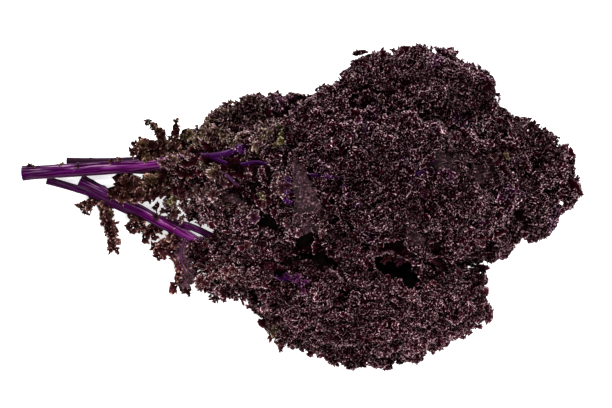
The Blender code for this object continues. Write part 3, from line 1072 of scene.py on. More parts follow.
GREEN_GROUPS = [
    ("side_leaf", 0.60, 0.29, 10, 10, 0, 0, 7, 0.5, 0.8),
    ("side_leaf", 0.52, -0.10, 3, 3, 0, 0, 3, 0.5, 0.8),
    ("inner_leaf", 0.20, 0.595, 3, 2, 0, 0, 3, 0.4, 0.6),
    ("inner_leaf", 0.58, 0.63, 3, 3, 0, 0, 3, 0.4, 0.6),
    ("inner_leaf", 0.00, 0.62, 6, 5, 24, 30, 3, 0.6, 0.8),
    ("bottom_leaf", 0.33, 0.30, 4, 5, 0, 0, 4, 0.6, 0.9),
    ("right_leaf", 0.72, 0.74, 3, 3, 0, 0, 3, 0.5, 0.7),
    ("side_leaf", 0.575, 0.37, 12, 10, 0, 0, 5, 0.4, 0.7),
]
VIOLET_GROUPS = [
    ("lower_leaf", 0.305, 0.590, 9, 3, -2, 0, 8, 0.40, 0.60),
    ("lower_leaf", 0.348, 0.510, 3, 6, -2, 0, 5, 0.35, 0.55),
    ("centre_leaf", 0.350, 0.460, 2, 15, -1, 0, 9, 0.30, 0.50),
    ("centre_leaf", 0.536, 0.434, 10, 9, 0, 0, 6, 0.30, 0.50),
    ("side_leaf", 0.40, 0.135, 7, 3, -2, 0, 6, 0.35, 0.60),
    ("side_leaf", 0.19, 0.070, 5, 2, -1, 0, 3, 0.30, 0.50),
]
# along, across, height in millimetres, size
SINGLE_CURLS = {
    "inner_leaf": [(-0.06, 0.80, 25, 0.45), (0.03, 0.84, 30, 0.50), (0.10, 0.70, 32, 0.55),
                   (0.16, 0.56, 34, 0.55), (0.075, 0.55, 30, 0.60), (-0.03, 0.60, 26, 0.50),
                   (0.11, 0.50, 28, 0.50), (0.12, 0.46, 28, 0.50), (0.20, 0.42, 34, 0.55)],
    "bottom_leaf": [(0.04, 0.72, 16, 0.50), (0.08, 0.62, 14, 0.55), (0.12, 0.53, 12, 0.50),
                    (0.10, 0.62, 12, 0.70), (0.125, 0.57, 11, 0.60)],
}


def lobe_group(group, rng, keep_off=True):
    """Flat lobes scattered in an ellipse, clear of the open places unless they lie in one."""
    leaf, along, across, length, width, low, high, count, small, large = group
    cx, cy = over(leaf, along, across)
    lobes = []
    for _ in range(count):
        turn, out = rng.uniform(0, 2 * np.pi), rng.uniform(0, 1) ** 0.5
        x = cx + out * math.cos(turn) * length * MM
        y = cy + out * math.sin(turn) * width * MM
        top = highest(x, y) + (low + rng.uniform(-1.0, 2.0)) * MM
        spot = np.array([x, y, rng.uniform(low, high) * MM if high else top])
        if keep_off and lies_open(spot, UP, 4 * MM):
            continue
        facing = leaning(UP, 0.38, rng)
        lobes.append(place_curl(spot, facing, rng.uniform(small, large), 0.0, rng, tip_kinds))
    return lobes


rng = np.random.default_rng(90)
for label, groups, finish in (("lobes", LOBE_GROUPS, open_finish),
                              ("green", GREEN_GROUPS, green_finish),
                              ("violet", VIOLET_GROUPS, violet_finish)):
    for i, group in enumerate(groups):
        sheets = lobe_group(group, rng, label != "violet")
        print(group[0], label, i + 1, "lobes:", len(sheets))
        if sheets:
            mesh = sheets_mesh(f"{group[0]}_{label}_{i + 1}", sheets)
            add_piece(mesh, finish, group[0] + "_blade")
for leaf, singles in SINGLE_CURLS.items():
    sheets = []
    for along, across, height, size in singles:
        spot = np.array([*over(leaf, along, across), height * MM])
        sheets.append(place_curl(spot, leaning(UP, 0.45, rng), size, 0.0, rng))
    add_piece(sheets_mesh(leaf + "_neck_curls", sheets), blade_finish, leaf + "_blade")
    print(leaf, "single curls:", len(sheets))

# %% [markdown]
# ## The folded middle of each leaf
# Behind the curls the blade itself lies folded round its midrib. Only dark glimpses of it
# show, so it needn't be exact: the leaf's solid, drawn in by a few millimetres and crumpled,
# fills the space that the folded blade fills and keeps the table from shining through. Its
# colour is painted shade: nearly black with dark red creases and pale flecks, and black round
# the hollows.

# %% Folded middles
FOLD_INSET = 13.0 * MM
FOLD_SHARE = 0.42  # of the leaf's own thickness, where it is thin
FOLD_PARTS = 4
FOLD_CRUMPLES = ((16, 1.6, 4), (6, 1.1, 6), (3.0, 0.7, 8))  # size and strength in mm, waves
HOLLOW_SHADE = 5 * MM  # how far past a hollow's edge its shade begins
fold_finish, shader, w = new_material("folded_blade")
crease = w.noise(0.005, 4.0, 0.6)
fleck = w.noise(0.0012, 2.0)
# painted shade: the fold is painted nearly black, and black where its shade number says it lies by
# a hollow
fold = crease.rise(0.42, 0.70).blend(rgb(0.0008, 0.0001, 0.0002), rgb(0.016, 0.0010, 0.0035))
fold = (fleck.rise(0.58, 0.72) * crease.rise(0.45, 0.60) * 0.8).blend(fold, rgb(0.10, 0.055, 0.065))
painted_hollow_shade = crease.blend(rgb(0.0002, 0.0001, 0.0001), rgb(0.003, 0.0015, 0.0015))
fold = w.attribute("shaded").blend(fold, painted_hollow_shade)
dress(shader, w, fold, 0.55 + 0.25 * crease, 0.01)


def split_triangles(triangles, parts):
    """Each triangle cut into parts x parts small ones."""
    rows = []
    for i in range(parts):
        for j in range(parts - i):
            rows.append(((i, j), (i + 1, j), (i, j + 1)))
            if i + j < parts - 1:
                rows.append(((i + 1, j), (i + 1, j + 1), (i, j + 1)))
    share = np.array(rows) / parts
    weights = np.concatenate([1 - share.sum(-1, keepdims=True), share], -1)
    return np.einsum("nck,tkx->tncx", weights, triangles).reshape(-1, 3, 3)


def joined(triangles):
    """(points, corners) with the triangles' shared points joined."""
    points, corners = np.unique(triangles.reshape(-1, 3).round(6), axis=0, return_inverse=True)
    corners = corners.reshape(-1, 3)
    a, b, c = corners.T
    return points, corners[(a != b) & (b != c) & (c != a)]


def folded_middle(leaf, seed):
    """The leaf's solid drawn in, cut fine and crumpled."""
    points, corners = joined(blade_triangles[leaf])
    edges = points[corners[:, 1:]] - points[corners[:, :1]]
    normals = np.zeros_like(points)
    np.add.at(normals, corners, np.cross(edges[:, 0], edges[:, 1])[:, None])
    normals /= np.linalg.norm(normals, axis=1, keepdims=True) + 1e-15
    inner = points.copy()
    for n, (point, normal) in enumerate(zip(points, normals)):
        far = blade_trees[leaf].ray_cast(Vector(point - normal * MM), Vector(-normal))[3] or 0.0
        inner[n] += drawn_in(leaf, point) - normal * min(FOLD_INSET, FOLD_SHARE * far)
    points, corners = joined(split_triangles(inner[corners], FOLD_PARTS))
    rng = np.random.default_rng(seed)
    for size, strength, waves in FOLD_CRUMPLES:
        points = wander(points, size * MM, strength * MM, rng, waves)
    points = press_on_table(points)
    mesh = bpy.data.meshes.new(leaf + "_middle")
    fill_mesh(mesh, points, corners)
    # painted shade: points near a hollow get a shade number that paints them black
    hollows = OPEN[:len(HOLLOWS)]
    gap = np.hypot((points[:, :1] - hollows[:, 0]) / (hollows[:, 2] + HOLLOW_SHADE),
                   (points[:, 1:2] - hollows[:, 1]) / (hollows[:, 3] + HOLLOW_SHADE)).min(1)
    mark(mesh, shaded=[np.clip(3.0 - 2.5 * gap, 0, 1)])
    add_map(mesh, face_tiles(len(mesh.polygons)))
    return mesh


def face_tiles(count):
    """Map corners that give each triangle half of its own small square."""
    side = math.ceil((count / 2) ** 0.5)
    n = np.arange(count)
    cell = np.stack([(n // 2) % side, (n // 2) // side], -1)
    lower = np.array([(0.06, 0.04), (0.94, 0.04), (0.06, 0.90)])
    upper = np.array([(0.94, 0.96), (0.06, 0.96), (0.94, 0.10)])
    corners = np.where((n % 2 == 0)[:, None, None], lower, upper)
    return ((cell[:, None] + corners) / side).reshape(-1, 2)


for i, leaf in enumerate(LEAVES):
    mesh = folded_middle(leaf, 70 + i)
    add_piece(mesh, fold_finish, leaf + "_blade")
    print(leaf, "middle:", len(mesh.polygons))

# %% [markdown]
# ## Smooth backs
# Where a blade turns over, its smooth back shows, stretched flat between veins that fan out
# from one side. Each is a thin round sheet laid over the leaf's solid and sunk a little
# below the tops of the curls, so that the curls round it hide its edge. A low curve fitted
# through the solid's height keeps it smooth over the solid's flat faces.

# %% Smooth back sheets
BACK_RINGS = 26
BACK_AROUND = 120
BACK_REACH = 1.75  # how far the sheet runs on under the curls, past its bare part


def smooth_back(leaf, along, across, length, width, sink, seed):
    """(rings, around, 3): a sheet over the leaf, from its middle to its frilled edge."""
    rng = np.random.default_rng(seed)
    cx, cy = over(leaf, along, across)
    turn = np.linspace(0, 2 * np.pi, BACK_AROUND, endpoint=False)
    reach = np.linspace(0.0, BACK_REACH, BACK_RINGS)[:, None]
    uneven = 1.0
    for waves, size in ((2, 0.16), (3, 0.12), (5, 0.10)):
        uneven = uneven + size * np.sin(waves * turn + rng.uniform(0, 6))
    dx = reach * np.cos(turn) * length * MM * uneven
    dy = reach * np.sin(turn) * width * MM * uneven
    samples = []
    for x, y in zip(dx.ravel()[::7], dy.ravel()[::7]):
        z = top_of(leaf, cx + x, cy + y)
        if z is not None:
            samples.append((x, y, z))
    sx, sy, sz = np.array(samples).T
    basis = np.stack([np.ones_like(sx), sx, sy, sx * sx, sx * sy, sy * sy], 1)
    fit = np.linalg.lstsq(basis, sz, rcond=None)[0]
    z = fit[0] + fit[1] * dx + fit[2] * dy + fit[3] * dx * dx + fit[4] * dx * dy + fit[5] * dy * dy
    folds = np.sin(2 * turn + rng.uniform(0, 6)) * 1.3 + np.sin(5 * turn + rng.uniform(0, 6)) * 0.9
    frill = np.sin(17 * turn + rng.uniform(0, 6)) * np.clip(reach - 0.7, 0, 1) * 2.2
    z = z - sink * MM + (folds * reach + frill) * MM
    sheet = np.stack([cx + dx, cy + dy, z], -1)
    return wander(wander(sheet, 16 * MM, 1.3 * MM, rng), 6 * MM, 0.5 * MM, rng)


def back_mesh(name, sheet, side, paleness, closed=True):
    """A smooth back with its veins: they fan out from the sheet's side at that angle."""
    mesh = sheets_mesh(name, [sheet], closed)
    middle = sheet[0].mean(0)
    size = np.linalg.norm(sheet[-1] - middle, axis=1).mean()
    flat = (sheet.reshape(-1, 3) - middle)[:, :2] / size
    root = np.array([math.cos(side), math.sin(side)]) * 1.1
    from_root = flat - root
    angle = np.arctan2(from_root[:, 1], from_root[:, 0]) - (side + math.pi)
    angle = (angle + np.pi) % (2 * np.pi) - np.pi
    mark(mesh, fan=[angle], paleness=[np.full(len(angle), paleness)])
    return mesh


back_finish, shader, w = new_material("smooth_back")
fan = w.attribute("fan")
paleness = w.attribute("paleness")
cloud = w.noise(0.008, 3.0)
fine = w.noise(0.0016, 3.0)
veins = (w.math("COSINE", fan * 23.0 + 2.0 * cloud) + 0.9 * (fine - 0.5)).rise(0.80, 1.05)
# painted light: each back is painted between a shaded and a lit colour of the same skin, and its
# veins show more where it is painted lit
shaded_skin = cloud.rise(0.35, 0.65).blend(rgb(0.006, 0.0012, 0.002), rgb(0.024, 0.008, 0.011))
lit_skin = cloud.rise(0.32, 0.68).blend(rgb(0.024, 0.006, 0.010), rgb(0.095, 0.036, 0.052))
skin = paleness.blend(shaded_skin, lit_skin)
skin = (0.5 * veins * (0.3 + 0.7 * paleness)).blend(skin, rgb(0.19, 0.08, 0.14))
skin = (fine.rise(0.55, 0.68) * 0.6).blend(skin, rgb(0.28, 0.16, 0.19))
# painted shade: random small patches painted nearly black, as shade in small hollows
back_hollow_shade = (fine.rise(0.51, 0.40) * 0.7 + w.noise(0.0036, 3.0).rise(0.54, 0.40) * 0.75).clamp()
skin = back_hollow_shade.blend(skin, rgb(0.006, 0.0005, 0.0015))
dress(shader, w, skin, 0.50 + 0.2 * fine, 0.12, veins + 0.9 * fine, 0.7, 0.0006)

for i, (leaf, along, across, length, width, sink, pale) in enumerate(BARE_BACKS):
    sheet = smooth_back(leaf, along, across, length, width, sink, 20 + i)
    mesh = back_mesh(f"{leaf}_back_{i + 1}", sheet, 2.6 + 0.5 * i, pale)
    add_piece(mesh, back_finish, leaf + "_blade")
print("smooth backs:", len(BARE_BACKS))

# %% [markdown]
# ## Dark blades below the hollows
# Under each hollow between two heads lies part of a lower blade, crumpled and in the dark,
# and painted black as shade. It is laid close to the table, wider than the hollow, and joins
# no curl. Lobes painted nearly black as shade fill the hollow over it.

# %% Blades below the hollows
UNDER_HEIGHT = 9.0 * MM
UNDER_SPREAD = 2.1
UNDER_EDGE = 4  # millimetres added to the hollow's half length and half width
# the lobes in each hollow are painted nearly black as shade
DEEP_LOBES = 20  # dark lobes in each hollow, so that it has no plain floor
DEEP_SINK = 26.0  # how far below the solid's top they lie, in millimetres
DEEP_SPREAD = 1.1
for i, (leaf, along, across, length, width, below) in enumerate(HOLLOWS):
    rng = np.random.default_rng(120 + i)
    cx, cy = over(leaf, along, across)
    turn = np.linspace(0, 2 * np.pi, BACK_AROUND, endpoint=False)
    reach = np.linspace(0.0, UNDER_SPREAD, BACK_RINGS)[:, None]
    crumple = 2.0 * MM * np.sin(5 * turn + 3 * reach) * reach
    sheet = np.stack([cx + reach * np.cos(turn) * (length + UNDER_EDGE) * MM,
                      cy + reach * np.sin(turn) * (width + UNDER_EDGE) * MM,
                      UNDER_HEIGHT + crumple], -1)
    sheet = press_on_table(wander(sheet, 9 * MM, 1.5 * MM, rng, 6))
    # painted shade: the sheet's shade number paints it black
    mesh = sheets_mesh(f"{below}_under_{i + 1}", [sheet], shades=[1.0])
    add_piece(mesh, fold_finish, below + "_blade")
    # painted shade: lobes painted nearly black fill the hollow
    deep_shade = (leaf, along, across, DEEP_SPREAD * length, DEEP_SPREAD * width, -DEEP_SINK, 0,
            DEEP_LOBES, 0.6, 1.1)
    mesh = sheets_mesh(f"{leaf}_deep_lobes_{i + 1}", lobe_group(deep_shade, rng, False))
    add_piece(mesh, deep_finish, leaf + "_blade")
print("blades below:", len(HOLLOWS))

# %% [markdown]
# ## The stalks
# A kale stalk is a ribbed rod, slightly flattened, with scars where lower leaves came off.
# The imported model has each as an eight-sided rod on a smooth route. Here the same routes
# carry rings of many points, whose radius takes the ribs, the scars and the flare at the
# cut. A curve with a bevel would give the rod quickly but not the ribs.

# %% Stalk routes
# route stops in millimetres, thick and thin radius, and a shade number: how bright the stalk is
# painted as light, lowest for the rear stalk
STALKS = {
    "inner_leaf": ([(-150, 30, 18), (-115, 31, 22), (-88, 28, 32), (-61, 20, 46), (-30, -4, 58),
                    (-4, -17, 62)], 3.1, 1.6, 0.5),
    "centre_leaf": ([(-226, 27, 17), (-176, 30, 25), (-129, 33, 35), (-73, 37, 51), (0, 26, 69),
                     (70, 18, 81), (118, 26, 84)], 5.5, 2.2, 0.8),
    "lower_leaf": ([(-208, 21.5, 5), (-184, 14.5, 5), (-168, 9, 5), (-141, -4, 5), (-118, -9.5, 6),
                    (-104, -13, 8.5), (-84, -19, 15), (-40, -40, 30), (0, -58, 42), (50, -72, 47),
                    (90, -77, 45)], 3.1, 2.0, 0.6),
    "upper_leaf": ([(-191, 36.6, 12), (-153, 36.6, 13), (-113, 39, 17), (-77, 41, 25),
                    (-48, 51, 31), (20, 68, 35), (70, 80, 35), (108, 87, 33)], 2.9, 1.9, 0.15),
    "right_leaf": ([(-200, 30, 6), (-140, 31, 7), (-90, 26, 12), (-20, 14, 23), (60, 5, 30),
                    (130, 9, 32), (168, 15, 32)], 4.3, 1.8, 0.5),
    "side_leaf": ([(-133, 40, 6), (-112, 45, 8), (-90, 52, 12), (-50, 63, 18), (-10, 73, 21),
                   (12, 77, 22)], 3.0, 1.6, 0.5),
    "bottom_leaf": ([(-180, 21, 12), (-147, 4, 13.5), (-132, -3, 14.5), (-118, -11, 15.5),
                     (-104, -18, 15.5), (-83, -30, 15), (-45, -58, 17), (0, -83, 18),
                     (35, -95, 18)], 5.1, 1.8, 0.7),
}
ROUND = 30  # points round a stalk
RING_STEP = 1.3  # millimetres from ring to ring
THINNING = 1.6  # how late along its length a stalk gets thin
RIB_HEIGHT = 0.035  # of the stalk's radius
# the rings that close its ends: share of the radius, and millimetres along the stalk
CUT_CAPS = ((0.02, 0.9), (0.45, 0.7), (0.80, 0.25), (0.93, 0.0))
END_CAPS = ((0.5, 0.8), (0.02, 1.2))


def smooth_line(stops, step):
    """Points about step apart on one smooth curve through the stops."""
    stops = np.array(stops, float)
    ends = np.vstack([2 * stops[0] - stops[1], stops, 2 * stops[-1] - stops[-2]])
    points = []
    for a, b, c, d in zip(ends, ends[1:], ends[2:], ends[3:]):
        t = np.linspace(0, 1, 24, endpoint=False)[:, None]
        points.append(0.5 * (2 * b + (c - a) * t + (2 * a - 5 * b + 4 * c - d) * t ** 2
                             + (3 * b - a - 3 * c + d) * t ** 3))
    points = np.vstack(points + [stops[-1:]])
    run = np.concatenate([[0], np.cumsum(np.linalg.norm(np.diff(points, axis=0), axis=1))])
    at = np.linspace(0, run[-1], max(3, round(run[-1] / step) + 1))
    return np.stack([np.interp(at, run, points[:, k]) for k in range(3)], 1), at


def directions(line):
    """Ahead, side and top directions along a line, the side one kept level."""
    ahead = np.gradient(line, axis=0)
    ahead /= np.linalg.norm(ahead, axis=1, keepdims=True)
    side = np.cross(UP, ahead)
    side /= np.linalg.norm(side, axis=1, keepdims=True) + 1e-9
    return ahead, side, np.cross(ahead, side)


def rod(stops, thick, thin, seed, flare=0.12, scars=9):
    """(rings, ROUND, 3) in millimetres of a ribbed rod, closed at both ends, and its distances."""
    rng = np.random.default_rng(seed)
    line, at = smooth_line(stops, RING_STEP)
    ahead, side, top = directions(line)
    share = at / at[-1]
    turn = np.linspace(0, 2 * np.pi, ROUND, endpoint=False)
    radius = (thick + (thin - thick) * share ** THINNING)[:, None] * np.ones(ROUND)
    radius *= 1 + flare * np.exp(-at / 5.0)[:, None]
    for ribs in (3, 5, 8):
        slow = np.interp(at, np.linspace(0, at[-1], 12), rng.uniform(0, 1, 12))[:, None]
        radius *= 1 + RIB_HEIGHT * slow * np.cos(ribs * turn + rng.uniform(0, 6) + 0.4 * slow)
    for _ in range(scars):
        spot, facing = rng.uniform(8, at[-1] * 0.7), rng.uniform(0, 2 * np.pi)
        around = (turn - facing + np.pi) % (2 * np.pi) - np.pi
        bump = np.exp(-((at[:, None] - spot) / 1.6) ** 2 - (around / 0.35) ** 2)
        radius += rng.uniform(0.3, 0.9) * bump
    radius *= np.where(share > 0.985, 0.6, 1.0)[:, None]
    cross = (np.cos(turn)[None, :, None] * side[:, None]
             + np.sin(turn)[None, :, None] * top[:, None] * 0.92)
    rings = line[:, None] + cross * radius[..., None]
    cut, end = [[line[n] + ahead[n] * forward + (rings[n] - line[n]) * shrink
                 for shrink, forward in caps]
                for n, caps in ((0, CUT_CAPS), (-1, END_CAPS))]
    at = np.concatenate([np.full(len(cut), -1.0), at, np.full(len(end), at[-1])])
    return np.concatenate([np.array(cut), rings, np.array(end)]), at


def rod_mesh(name, rings, at, shade):
    """The rod, with a place on its skin for the streaks and how far along it each point is."""
    mesh = sheets_mesh(name, [rings * MM])
    turn = np.linspace(0, 2 * np.pi, ROUND, endpoint=False)
    skin = np.stack([np.tile(np.cos(turn), len(at)), np.tile(np.sin(turn), len(at)),
                     np.repeat(at, ROUND) * 0.009], -1)
    layer = mesh.attributes.new("skin", "FLOAT_VECTOR", "POINT")
    layer.data.foreach_set("vector", skin.astype(np.float32).ravel())
    mark(mesh, along=[np.repeat(np.clip(at / at[-1], 0, 1), ROUND)],
         cut=[np.repeat((at < 0).astype(float), ROUND)], shade=[np.full(len(skin), shade)])
    return mesh


print("stalks:", len(STALKS))

# %% [markdown]
# ## The stalks' skin
# It is a waxy purple, streaked along its length, and almost magenta towards the leaf. Each
# stalk has a shade number: a high one paints it brighter as light, a low one gives it the
# darker violet of young veins, as the ribs have, and the rear stalk, whose number is lowest,
# is also painted dull as shade. Its lower edge is painted in shade, and the side that faces up
# towards the key lamp has painted highlights on its pale streaks and along the top of the
# ribs. The cut end shows paler, drier flesh.

# %% Stalk finish
stalk_finish, shader, w = new_material("stalk_skin")
skin = w.attribute("skin", 1)
along = w.attribute("along")
shade = w.attribute("shade")
streak = w.noise(0.50, 3.0, 0.6, skin)
fine = w.noise(0.20, 2.0, 0.5, skin)
broad = w.noise(1.4, 2.0, 0.5, skin)
speck = w.noise(0.0016, 3.0, 0.6)
base = streak.rise(0.38, 0.68) * 0.85 + 0.15 * broad
base = base.blend(rgb(0.009, 0.0, 0.013), rgb(0.092, 0.001, 0.100))
# towards the leaf the skin turns magenta, painted brighter as light by the stalk's shade number
lit_magenta = (along.rise(0.12, 0.38) * shade * broad.rise(0.30, 0.65) * 0.75).clamp()
base = lit_magenta.blend(base, rgb(0.165, 0.004, 0.140))
base = (fine.rise(0.53, 0.40) * 0.85).blend(base, rgb(0.016, 0.0, 0.013))
# painted shade along the lower edge, away from the key lamp
lower_edge_shade = (0 - skin.axis(0)).rise(0.25, 0.90)
base = (lower_edge_shade * 0.75).blend(base, rgb(0.020, 0.0, 0.014))
# the side that faces up and towards the key lamp gets painted highlights on the pale streaks there
facing = 0.70 * skin.axis(0) + 0.71 * skin.axis(1)
ridge_highlight = (facing.rise(0.68, 0.95) * shade).clamp()
streaks_and_highlight = (fine.rise(0.50, 0.66) * (0.12 + 0.95 * ridge_highlight)).clamp()
base = streaks_and_highlight.blend(base, rgb(0.37, 0.19, 0.33))
young = ((1 - shade).rise(0.55, 0.65) * 0.95).clamp()
vein = fine.rise(0.38, 0.62).blend(rgb(0.003, 0.0, 0.006), rgb(0.030, 0.001, 0.044))
# painted highlight along the top of a rib
vein_highlight = (facing.rise(0.90, 0.99) * fine.rise(0.42, 0.60) * 0.7).clamp()
vein = vein_highlight.blend(vein, rgb(0.22, 0.09, 0.27))
base = young.blend(base, vein)
# painted shade: the rear stalk, whose shade number is lowest, is painted dull
rear_shade = ((1 - shade).rise(0.72, 0.85) * 0.85).clamp()
base = rear_shade.blend(base, rgb(0.016, 0.004, 0.010))
base = (speck.rise(0.62, 0.70) * 0.6).blend(base, rgb(0.035, 0.010, 0.014))
flesh = w.noise(0.0012, 3.0).blend(rgb(0.12, 0.06, 0.06), rgb(0.36, 0.28, 0.20))
base = w.attribute("cut").rise(0.75, 1.0).blend(base, flesh)
dress(shader, w, base, 0.40 + 0.25 * streak, 0.02, fine + 0.5 * speck, 0.8, 0.0006)

for i, (leaf, (stops, thick, thin, shade)) in enumerate(STALKS.items()):
    rings, at = rod(stops, thick, thin, 10 + i)
    mesh = rod_mesh(leaf + "_stalk_skin", rings, at, shade)
    add_piece(mesh, stalk_finish, leaf + "_stalk")
    print(leaf, "stalk:", len(mesh.polygons), "faces")

# %% [markdown]
# ## Buds on the thick stalk
# Small brown buds are left where the lowest leaves came off. Each is a pair of tiny lobes
# that stand out from the skin, placed by how far along the stalk it is and which way round.

# %% Buds
# millimetres from the cut, and the way round from the side in radians
BUDS = [(8, 0.5), (10, 0.7), (35, 0.7), (48, 1.2), (76, 0.6), (82, 0.3), (150, 0.4)]
BUD_OUT = 5.6  # millimetres from the middle of the stalk
rng = np.random.default_rng(17)
line, at = smooth_line(STALKS["centre_leaf"][0], RING_STEP)
ahead, side, top = directions(line)
bud_sheets = []
for run, turn in BUDS:
    n = int(run / RING_STEP)
    out = side[n] * math.cos(turn) + top[n] * math.sin(turn)
    for _ in range(2):
        spot = line[n] + out * BUD_OUT + rng.normal(0, 0.7, 3)
        facing = leaning(out, 0.6, rng)
        size = rng.uniform(0.42, 0.72)
        bud_sheets.append(place_curl(spot * MM, facing, size, 0.0, rng, bold_kinds))
mesh = sheets_mesh("centre_leaf_buds", bud_sheets)
add_piece(mesh, leaflet_finish, "centre_leaf_stalk")
print("buds:", len(BUDS))

# %% [markdown]
# ## Bare ribs
# Side ribs of the leaves lie open between the curls: short thin rods of the same skin, laid
# over the leaf's solid at about the depth of the smooth backs. The inner leaf's midrib is pale.

# %% Ribs on the leaves
RIB_SHADE = 0.35
pale_finish, shader, w = new_material("pale_rib")
streak = w.noise(0.25, 3.0, 0.5, w.attribute("skin", 1))
purple = streak.rise(0.40, 0.66).blend(rgb(0.014, 0.002, 0.014), rgb(0.105, 0.030, 0.095))
dress(shader, w, purple, 0.45 + 0.2 * streak, 0.06)


def stops_over(leaf, places):
    """Stops in millimetres from (along, across, height over all the leaves)."""
    stops = []
    for along, across, rise in places:
        x, y = over(leaf, along, across)
        stops.append((x / MM, y / MM, highest(x, y) / MM + rise))
    return stops


for i, (leaf, stops, thick, thin, sink) in enumerate(RIBS):
    stops = stops_over(leaf, [(*stop, -sink) for stop in stops])
    middle = np.mean([z for _, _, z in stops])
    stops = [(x, y, 0.5 * (z + middle)) for x, y, z in stops]
    rings, at = rod(stops, thick, thin, 30 + i, 0.0, 1)
    mesh = rod_mesh(f"{leaf}_rib_{i + 1}", rings, at, RIB_SHADE)
    finish = pale_finish if leaf == "inner_leaf" else stalk_finish
    add_piece(mesh, finish, leaf + "_blade")
print("ribs:", len(RIBS))

# %% [markdown]
# ## The small leaflets
# Low on a kale stalk stand small leaflets, older and browner than the head. Each is a
# narrow blade along a route, with lobes on both sides that carry uneven teeth, and a margin
# that rolls up and down. The roll also moves the margin to and fro along the leaflet, which
# makes its folds hang over each other as real ones do.

# %% Frilled leaflets
# stops, half width, share of it left at the tip
LEAFLETS = {
    "centre_leaf_leaflet_1": ([(-112, 34, 38), (-120, 44, 42), (-133, 48, 40)], 12, 0.8),
    "centre_leaf_leaflet_2": ([(-109, 35, 39), (-111, 52, 43), (-115, 60, 42),
                               (-122, 68, 38)], 9, 0.25),
    "centre_leaf_leaflet_3": ([(-101, 35, 41), (-100, 52, 43), (-101, 69, 38)], 6, 0.25),
    "centre_leaf_leaflet_4": ([(-108, 32, 37), (-117, 17, 34), (-134, 13, 30),
                               (-150, 20, 27)], 15, 0.9),
    "lower_leaf_leaflet_1": ([(-163, 7, 5), (-160, -6, 6), (-156, -20, 6),
                              (-154, -35, 5)], 9, 0.45),
    "lower_leaf_leaflet_2": ([(-167, 9, 5), (-173, 3, 6), (-178, -3, 5)], 7, 0.7),
    "bottom_leaf_leaflet_1": ([(-131, -4, 14.5), (-134, -12, 13), (-138, -17, 9)], 8, 0.8),
    "bottom_leaf_leaflet_2": ([(-115, -13, 15.5), (-121, -20, 13), (-128, -23, 9)], 7, 0.8),
    "bottom_leaf_leaflet_3": ([(-102, -19, 15.5), (-107, -31, 14), (-119, -37, 10)], 11, 0.8),
    "bottom_leaf_leaflet_4": ([(-94, -25, 15), (-98, -38, 13), (-95, -54, 11),
                               (-99, -67, 8)], 7, 1.3),
}
LEAFLET_SHADE = {"centre": 1.3, "lower": 0.6, "bottom": 0.8}  # how dark their lobes get
LEAFLET_STEP = 0.32
LEAFLET_ACROSS = 15
LEAFLET_TEETH = (0.8, 3.4)
LEAFLET_TEETH_WIDTH = (2.4, 5.5)
LEAFLET_FRILLS = (6.5, 3.8)  # millimetres from fold to fold of the margin
LOBE_SPACING = 5.6  # between the pointed lobes that stand on the margins
LOBE_LENGTH = 9  # millimetres of margin for each lobe


def frilled_leaflet(stops, half_width, seed, frill=1.0, left=0.0, waist=0.45):
    """(across, along, 3) in millimetres, from one margin over the midrib to the other."""
    rng = np.random.default_rng(seed)
    line, at = smooth_line(stops, LEAFLET_STEP)
    ahead, side, top = directions(line)
    share = at / at[-1]
    twist = 0.5 * np.sin(2.5 * share + rng.uniform(0, 6))[:, None]
    side, top = (side * np.cos(twist) + top * np.sin(twist),
                 top * np.cos(twist) - side * np.sin(twist))
    sheet = np.zeros((LEAFLET_ACROSS, len(line), 3))
    for edge in (-1, 1):
        lobes = max(2, round(at[-1] / LOBE_LENGTH))
        lobe = waist + (1 - waist) * np.abs(np.sin(np.pi * lobes * share + rng.uniform(0, 3)))
        tall, lean = teeth_along(at, rng, LEAFLET_TEETH, LEAFLET_TEETH_WIDTH)
        outline = np.minimum(1, 0.3 + 2.5 * share) * (1 - (1 - left) * share)
        outline = outline * np.minimum(1, 7 * (1 - share) + 0.1)
        width = half_width * outline * lobe + tall * np.minimum(1, 0.3 + outline)
        roll, shift = np.zeros((2, len(at)))
        for size in LEAFLET_FRILLS:
            phase = 2 * np.pi * at / (size * rng.uniform(0.85, 1.15)) + rng.uniform(0, 6)
            roll += np.sin(phase) * size / LEAFLET_FRILLS[0]
            shift += np.cos(phase) * size / LEAFLET_FRILLS[0]
        for n, t in enumerate(np.linspace(0, 1, LEAFLET_ACROSS // 2 + 1)):
            row = LEAFLET_ACROSS // 2 + edge * n
            curl = t ** 1.8 * (0.16 * half_width + 1.1) * frill
            out = width * t * math.cos(0.35 * (0.9 * t))
            up = 0.12 * half_width * t - 0.25 * width * t ** 2 + curl * roll + 0.5 * lean * t ** 3
            sheet[row] = (line + side * edge * out[:, None] + top * up[:, None]
                          + ahead * (0.8 * curl * shift)[:, None])
    return wander(sheet * MM, 8 * MM, 0.4 * MM, rng)


def leaflet_lobes(stops, half_width, left, seed):
    """Pointed lobes along both margins of a leaflet."""
    rng = np.random.default_rng(seed)
    line, at = smooth_line(stops, LOBE_SPACING)
    ahead, side, top = directions(line)
    lobes = []
    for n in range(1, len(line)):
        narrow = 1 - (1 - left) * at[n] / at[-1]
        for edge in (-1, 1):
            out = rng.uniform(0.20, 0.65) * half_width * narrow
            spot = (line[n] + side[n] * edge * out + top[n] * rng.uniform(-1.5, 1.5)) * MM
            facing = leaning(side[n] * edge * 0.3 + UP, 0.25, rng)
            size = rng.uniform(0.85, 1.30) * (0.60 + 0.045 * half_width) * (0.4 + 0.6 * narrow)
            lobes.append(place_curl(spot, facing, size, 0.0, rng, bold_kinds))
    return lobes


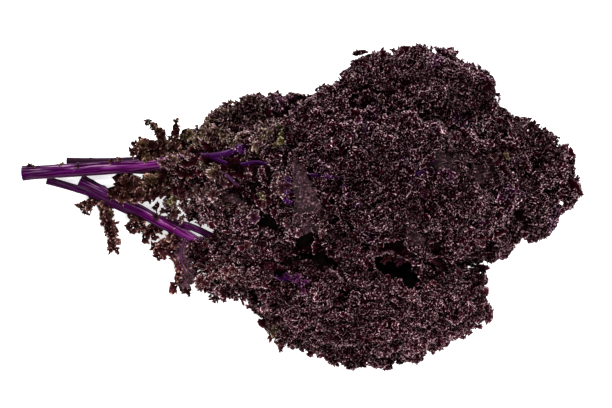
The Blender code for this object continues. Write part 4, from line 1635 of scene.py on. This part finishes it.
for i, (name, (stops, half_width, left)) in enumerate(LEAFLETS.items()):
    sheet = frilled_leaflet(stops, 0.75 * half_width, 60 + i, 0.7, left)
    mesh = sheets_mesh(name + "_blade", [sheet], False, lambda up: np.abs(2 * up - 1))
    add_piece(mesh, leaflet_finish, name)
    sheets = leaflet_lobes(stops, half_width, left, 80 + i)
    darkest = LEAFLET_SHADE[name.split("_")[0]]
    shades = list(np.random.default_rng(180 + i).uniform(0.0, darkest, len(sheets)))
    mesh = sheets_mesh(name + "_lobes", sheets, shades=shades)
    add_piece(mesh, leaflet_finish, name)
    print(name, "lobes:", len(sheets))

# %% [markdown]
# ## A pale rib and its flare
# The lowest leaflet hangs by a bare pale rib, which spreads at its foot into a smooth flare
# that shows its back.

# %% Rib and flare of the lowest leaflet
FLARE_RISE = 4.0  # millimetres over the route of the solid
FLARE_SINK = 1.0  # of the flare, below its rib
name = "bottom_leaf_leaflet_4"
route = [(x, y, z + FLARE_RISE) for x, y, z in LEAFLETS[name][0]]
rings, at = rod(route[:3], 1.1, 0.5, 33, 0.0, 1)
add_piece(rod_mesh(name + "_rib", rings, at, 1.0), pale_finish, name)
flare = frilled_leaflet([(x, y, z - FLARE_SINK) for x, y, z in route], 3.9, 134, 0.4, 2.3, 0.85)
# the flare is painted fully lit
add_piece(back_mesh(name + "_flare", flare, 1.5, 1.0, False), back_finish, name)
print("rib and flare:", len(rings), "rings and a sheet of", flare.shape)

# %% [markdown]
# ## A lobe turned over
# On top of the bunch one large lobe of the middle leaf has turned over and points across
# it, showing its smooth back: a wedge with a toothed edge on both sides, whose veins fan out
# from its foot. It is a frilled leaflet in shape, only wider at its foot and nearly flat.

# %% The turned lobe
# along, across, height over the leaves in millimetres
LOBE_STOPS = [(0.412, 0.20, -6.0), (0.405, 0.34, 4.0), (0.390, 0.50, 8.0), (0.370, 0.655, 7.0)]
LOBE_FOOT = ("centre_leaf", 0.40, 0.24, 17, 10, 0, 0, 18, 0.5, 0.9)  # as in the groups of lobes
sheet = frilled_leaflet(stops_over("centre_leaf", LOBE_STOPS), 19, 131, 0.36, 0.10, 0.85)
sheet = wander(sheet, 16 * MM, 1.6 * MM, np.random.default_rng(132))
# the turned lobe is painted half lit
mesh = back_mesh("centre_leaf_turned_lobe", sheet, -1.4, 0.45, False)
add_piece(mesh, back_finish, "centre_leaf_blade")
sheets = lobe_group(LOBE_FOOT, np.random.default_rng(133))
mesh = sheets_mesh("centre_leaf_turned_lobes_foot", sheets)
add_piece(mesh, open_finish, "centre_leaf_blade")
print("turned lobe:", sheet.shape, "and lobes at its foot:", len(sheets))
